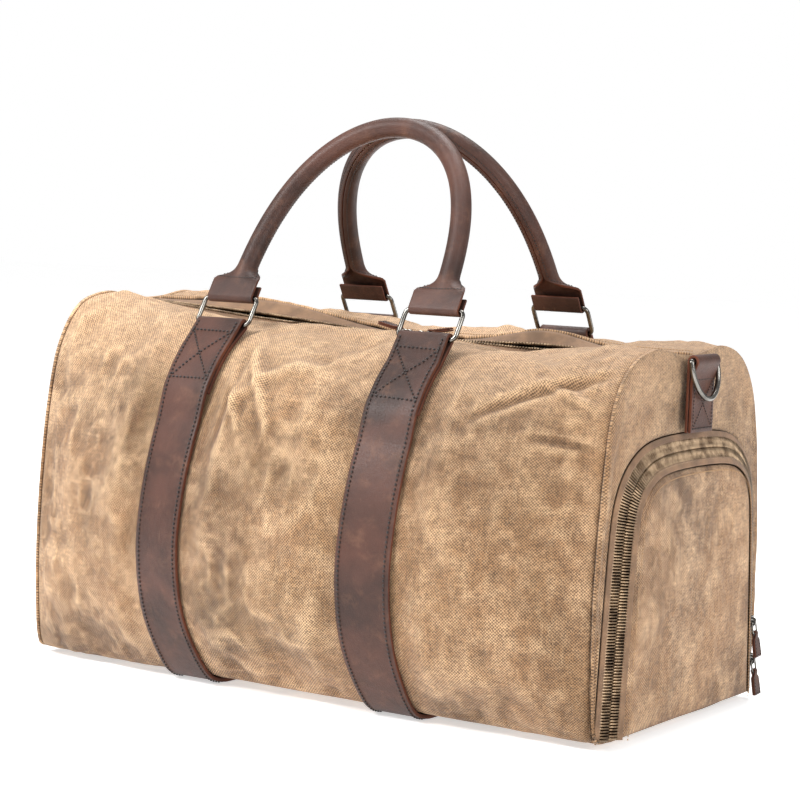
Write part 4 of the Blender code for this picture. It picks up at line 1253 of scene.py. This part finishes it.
def d_ring(name, end):
    half, drop = D_WIDTH / 2 - D_WIRE, D_HEIGHT - D_WIRE
    outline = [(-half, 0), (half, 0), (half, -D_CORNER)]
    outline += [(half * math.cos(a), -D_CORNER - (drop - D_CORNER) * math.sin(a))
                for a in np.radians(np.arange(4, 180, 4))] + [(-half, -D_CORNER)]
    outline = closed_evenly(np.array(outline), 0.0012)
    sway = [(end * (D_BAR_X - b * math.sin(D_TILT)), a, D_BAR_Z + b * math.cos(D_TILT)) for a, b in outline]
    return bake(wire(name, sway, D_WIRE, STEEL), name, name, slot="ring_metal")


for end, word in ((-1, "left"), (1, "right")):
    d_tab("d_ring_tab_" + word, end, "bag")
    d_ring("d_ring_" + word, end)
print("two D-rings", round(D_WIDTH * 1000, 1), "mm wide")

# %% [markdown]
# A coil-free metal zip is two tapes with a row of teeth each. The teeth of one row sit between those
# of the other, so the second row starts half a pitch later. Where both rows meet the chain is closed.

# %% Zip teeth
TOP_TOOTH = rounded_item("top_tooth_item", (0.0019, 0.0031, 0.0021), 0.0006)
SHOE_TOOTH = rounded_item("shoe_tooth_item", (0.0015, 0.0088, 0.0026), 0.0006)
for vert in SHOE_TOOTH.data.vertices:
    vert.co.z -= vert.co.y * DOOR_SLOPE
TOP_PITCH, SHOE_PITCH = 0.0026, 0.0021
SHOE_ROW = 0.0044            # middle of a row of teeth, off the chain's centre line
TOOTH_THICK = 0.0022


def top_chain(side, shift):
    y, z = side * 0.0016, ZIP_Z - TOOTH_THICK / 2
    x = np.linspace(-ZIP_HALF + shift, ZIP_HALF - TOP_PITCH + shift, 160)
    return [(k, y, z + float(zip_lift(k)) + y * ZIP_TIP * float(zip_gape(k))) for k in x]


for side, word, shift in ((-1, "front", 0.0), (1, "back", TOP_PITCH / 2)):
    repeated("zip_teeth_" + word, [top_chain(side, shift)], TOP_PITCH, TOP_TOOTH, (0, 0, 1), BRASS,
             "bag", "top_zip_teeth_" + word, slot="zip_metal")


def shoe_chain(distance, shift):
    line = track_line(distance, 0.001)
    first = int(round(shift / 0.001))
    return [(TRACK_X - TOOTH_THICK / 4 - distance * DOOR_SLOPE, y, z) for y, z in line[first:len(line) - 1]]


for word, row, shift, body in (("outer", SHOE_ROW, 0, "bag"),
                               ("inner", -SHOE_ROW, SHOE_PITCH / 2, "shoe_door")):
    repeated("door_teeth_" + word, [shoe_chain(CHAIN_MIDDLE + row, shift)], SHOE_PITCH, SHOE_TOOTH, (1, 0, 0),
             BRASS, body, "shoe_zip_teeth_" + word, slot="zip_metal")
print("teeth every", TOP_PITCH * 1000, "and", round(SHOE_PITCH * 1000, 1), "mm")

# %% [markdown]
# The tapes, the stops, the linings and the base board keep their CAD shape or a finer copy of it.
# A soft copy is merged, subdivided and pushed about by smooth noise, so that thin cotton creases.

# %% Tapes, linings and small parts
for node in ("top_zip_stop_left", "top_zip_stop_right"):
    dress(node, BRASS)
dress("base_board", BOARD)


def tape_strip(name, node, lines, body):
    """A thin ribbon between two lines of points."""
    a, b = (np.array(line)[:, None] for line in lines)
    points = lerp(a, b, np.linspace(0, 1, 7)[None, :, None])
    return bake(sheet(name, points, 0.0010, [TAPE, TAPE]), body, node, slot="zip_tape")


TAPE_SUNK = 0.0012            # the top tapes lie this far under the tops of the teeth
for side, word in ((-1, "front"), (1, "back")):
    x = np.linspace(-BODY_HALF, BODY_HALF, 180)
    z = ZIP_Z + zip_lift(x) - TAPE_SUNK
    near, far = (np.stack((x, np.full_like(x, y), z + y * ZIP_TIP * zip_gape(x)), 1)
                 for y in (side * 0.0012, side * (0.0130 if side < 0 else 0.0110)))
    tape_strip("zip_tape_" + word, "top_zip_tape_" + word, (near, far) if side < 0 else (far, near), "bag")
for word, a, b, body in (("outer", CHAIN_MIDDLE + CHAIN_HALF, FRAME_EDGE, "bag"),
                         ("inner", DOOR_EDGE, CHAIN_MIDDLE - CHAIN_HALF, "shoe_door")):
    edges = [np.insert(track_line(c), 0, TRACK_X - ZIP_SUNK - c * DOOR_SLOPE, axis=1) for c in (a, b)]
    tape_strip("door_tape_" + word, "shoe_zip_tape_" + word, edges, body)


def softened(name, node, mat, body, amount, seed):
    """A finer, creased copy of a soft CAD node, which it replaces."""
    build = bmesh.new()
    build.from_mesh(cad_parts[node].data)
    bmesh.ops.remove_doubles(build, verts=build.verts, dist=1e-5)
    bmesh.ops.recalc_face_normals(build, faces=build.faces)
    bmesh.ops.subdivide_edges(build, edges=build.edges[:], cuts=2, use_grid_fill=True)
    rng = np.random.default_rng(seed)
    waves = [(Vector(rng.normal(size=3) * 2 * np.pi / rng.uniform(0.05, 0.12)), rng.uniform(0, 6.28))
             for _ in range(14)]
    for vert in build.verts:
        push = sum(math.sin(vert.co.dot(turns) + start) for turns, start in waves) / 6
        inward = Vector((0, vert.co.y, vert.co.z - 0.13)).normalized()
        vert.co -= inward * amount * (0.6 + 0.6 * push)
    return bake(add(name, built(name, build), mat), body, node, slot="lining")


softened("lining_main", "main_lining", LINING, "bag", 0.0025, 3)
softened("lining_shoe_pocket", "shoe_pocket_lining", LINING, "bag", 0.0030, 4)
print("tapes, linings and board dressed")

# %% [markdown]
# Rows of small stitches hold the zips to the canvas, close the end seams and run round the door.
# They sit on the finished canvas, so their lines are read from its surface.

# %% Canvas stitching
HEM_ROW = 0.972               # where the hem's stitches run, as a share of the panel's rows
for word, surface in (("front", front_surface), ("back", back_surface)):
    line = surface[int(FINE[0] * HEM_ROW), 4:-4] + (0, 0, 0.0004)
    stitches("hem_stitches_" + word, [line], "bag", "canvas", small=True, mat=PALE_THREAD)
SEWN_OFF = 0.0045             # stitches beside the door's zip, off its tapes' edges
for word, distance, body in (("outer", FRAME_EDGE + SEWN_OFF, "bag"),
                             ("inner", DOOR_EDGE - SEWN_OFF, "shoe_door")):
    line = np.insert(track_line(distance, 0.004), 0, TRACK_X + 0.0002 - distance * DOOR_SLOPE, axis=1)
    stitches("door_stitches_" + word, [line], body, "canvas", facing=(1, 0, 0), small=True, mat=PALE_THREAD)
print("canvas stitching done")

# %% [markdown]
# A slider is a shield-shaped plate that straddles the chain, with a small arch over it. A wire link
# runs through the arch, and a strip of leather folded round the link is what the fingers hold.

# %% Sliders and pulls
SLIDER_LENGTH, SLIDER_WIDTH = 0.0095, 0.0078
SLIDER_CLEAR, SLIDER_PLATE = 0.0003, 0.0019
HOOK_REACH, HOOK_WALL, HOOK_WIDTH, HOOK_OPEN = 0.0033, 0.0010, 0.0026, 0.0021
PULL_RING, PULL_WIRE, PULL_CORNER = (0.009, 0.0066), 0.0007, 0.0012
PULL_REACH, PULL_WIDTH, PULL_THICK = 0.0185, 0.010, 0.0012


def place_on(point, along, normal):
    along, normal = Vector(along).normalized(), Vector(normal).normalized()
    turn = Matrix((along, normal.cross(along), normal)).transposed()
    return Matrix.Translation(point) @ turn.to_4x4()


def extrude_outline(build, outline, low, high, upright):
    """Adds a prism: outline (a, b) in the plate's plane, or upright along X and Z if upright."""

    def at(a, b, depth):
        return (a, depth, b) if upright else (a, b, depth)
    bottom = [build.verts.new(at(a, b, low)) for a, b in outline]
    top = [build.verts.new(at(a, b, high)) for a, b in outline]
    build.faces.new(bottom)
    build.faces.new(top)
    for i in range(len(outline)):
        j = (i + 1) % len(outline)
        build.faces.new((bottom[i], bottom[j], top[j], top[i]))


def slider(name, where):
    half, wide = SLIDER_LENGTH / 2, SLIDER_WIDTH / 2
    edge = [(half * a, wide * b) for a, b in ((-1, -0.62), (-0.5, -0.74), (0.2, -1), (0.9, -0.96), (1, -0.7))]
    shield = edge + [(a, -b) for a, b in edge[::-1]]
    build = bmesh.new()
    extrude_outline(build, shield, SLIDER_CLEAR, SLIDER_PLATE, False)
    for side in (-1, 1):
        rail = [(-half * 0.45, side * wide * 0.60), (half * 0.8, side * wide * 0.82),
                (half * 0.8, side * wide * 0.96), (-half * 0.45, side * wide * 0.74)]
        extrude_outline(build, rail, SLIDER_PLATE - 0.0003, SLIDER_PLATE + 0.0004, False)
    turn = np.radians(np.linspace(180, 0, 13))
    rise = HOOK_OPEN + HOOK_WALL
    outer = [(HOOK_REACH * math.cos(a), SLIDER_PLATE + rise * math.sin(a) ** 0.6) for a in turn]
    reach, open_up = HOOK_REACH - HOOK_WALL, HOOK_OPEN
    inner = [(reach * math.cos(a), SLIDER_PLATE + open_up * math.sin(a) ** 0.6) for a in turn[::-1]]
    outer[0], inner[-1] = (-HOOK_REACH, SLIDER_PLATE - 0.0005), (-reach, SLIDER_PLATE - 0.0005)
    outer[-1], inner[0] = (HOOK_REACH, SLIDER_PLATE + GAP), (reach, SLIDER_PLATE + GAP)
    extrude_outline(build, outer + inner, -HOOK_WIDTH / 2, HOOK_WIDTH / 2, True)
    bmesh.ops.recalc_face_normals(build, faces=build.faces)
    mesh = bpy.data.meshes.new(name)
    build.to_mesh(mesh)
    build.free()
    obj = add(name, mesh, STEEL)
    obj.matrix_world = where
    edge = obj.modifiers.new("edge", "BEVEL")
    edge.width, edge.segments, edge.limit_method = 0.00028, 2, "ANGLE"
    return bake(obj, name, name, slot="ring_metal")


def pull(name, where):
    length, width = PULL_RING
    outline = closed_evenly(rounded_rectangle(width, length, PULL_CORNER), 0.0006)
    link = wire(name + "_link", [(b, a, 0) for a, b in outline], PULL_WIRE, STEEL, sides=3)
    link.matrix_world = where
    bake(link, name, name + "_link", slot="ring_metal")
    radius, neck = PULL_WIRE + GAP, 0.003
    turn = np.radians(np.arange(290, 69, -15))
    flat = [length + PULL_REACH, length + PULL_REACH * 0.6, length + neck + 0.002, length + neck]
    path = [(x, -GAP / 2) for x in flat]
    path += [(length + radius * math.cos(a), radius * math.sin(a)) for a in turn]
    path += [(x, GAP / 2) for x in flat[::-1]]
    narrow = (width - 2 * PULL_CORNER - 2 * GAP) / 2
    rows = []
    for x, z in path:
        grown = min(max((x - length - neck * 0.6) / 0.004, 0), 1)
        half = lerp(narrow, PULL_WIDTH / 2, eased(grown))
        rows.append([(x, k * half, z) for k in np.linspace(-1, 1, 9)])
    tab = sheet(name + "_tab", rows, PULL_THICK, LEATHER_SIDES, edge=0.00025)
    tab.matrix_world = where
    bake(tab, name, name + "_tab", slot="leather")
    wide, top = PULL_WIDTH / 2 - 0.0016, PULL_THICK + GAP / 2 + 0.0001
    start, stop = length + 0.0062, length + PULL_REACH - 0.0016
    corners = [(start, -wide), (stop, -wide), (stop, wide), (start, wide)]
    lines = [[tuple(where @ Vector((*a, top))), tuple(where @ Vector((*b, top)))]
             for a, b in zip(corners, corners[1:])]
    stitches(name + "_stitches", lines, name, "leather", facing=tuple(where.to_3x3() @ Vector((0, 0, 1))),
             small=True)


def slider_with_pull(word, place, along, normal, tilt):
    slider(word + "_slider", place_on(place, along, normal))
    along, normal = Vector(along).normalized(), Vector(normal).normalized()
    pivot = Vector(place) + normal * (SLIDER_PLATE + HOOK_OPEN / 2 + GAP / 4)
    lean = math.radians(tilt)
    out = along * math.cos(lean) + normal * math.sin(lean)
    up = normal * math.cos(lean) - along * math.sin(lean)
    pull(word + "_pull", place_on(pivot, out, up))


slope = math.atan(ZIP_RISE)
LEFT_X, RIGHT_X = 0.0115, 0.0225
slider_with_pull("top_left", (LEFT_X, 0, ZIP_Z + float(zip_lift(LEFT_X))),
                 (-math.cos(slope), 0, math.sin(slope)), (math.sin(slope), 0, math.cos(slope)), 9)
slider_with_pull("top_right", (RIGHT_X, 0, ZIP_Z), (1, 0, 0), (0, 0, 1), 9)
foot, knee = Vector((TRACK_X, *TRACK_FOOT)), Vector((TRACK_X, *TRACK_KNEE))
for word, z in (("upper", 0.062), ("lower", 0.032)):
    place = foot.lerp(knee, (z - foot.z) / (knee.z - foot.z))
    slider_with_pull("shoe_" + word, place, foot - knee, (1, 0, 0), 8)
print("four sliders with their pulls")

# %% [markdown]
# The items that the tree repeated are no longer needed.

# %% Finish
for item in (STITCH, SMALL_STITCH, TOP_TOOTH, SHOE_TOOTH):
    bpy.data.objects.remove(item, do_unlink=True)
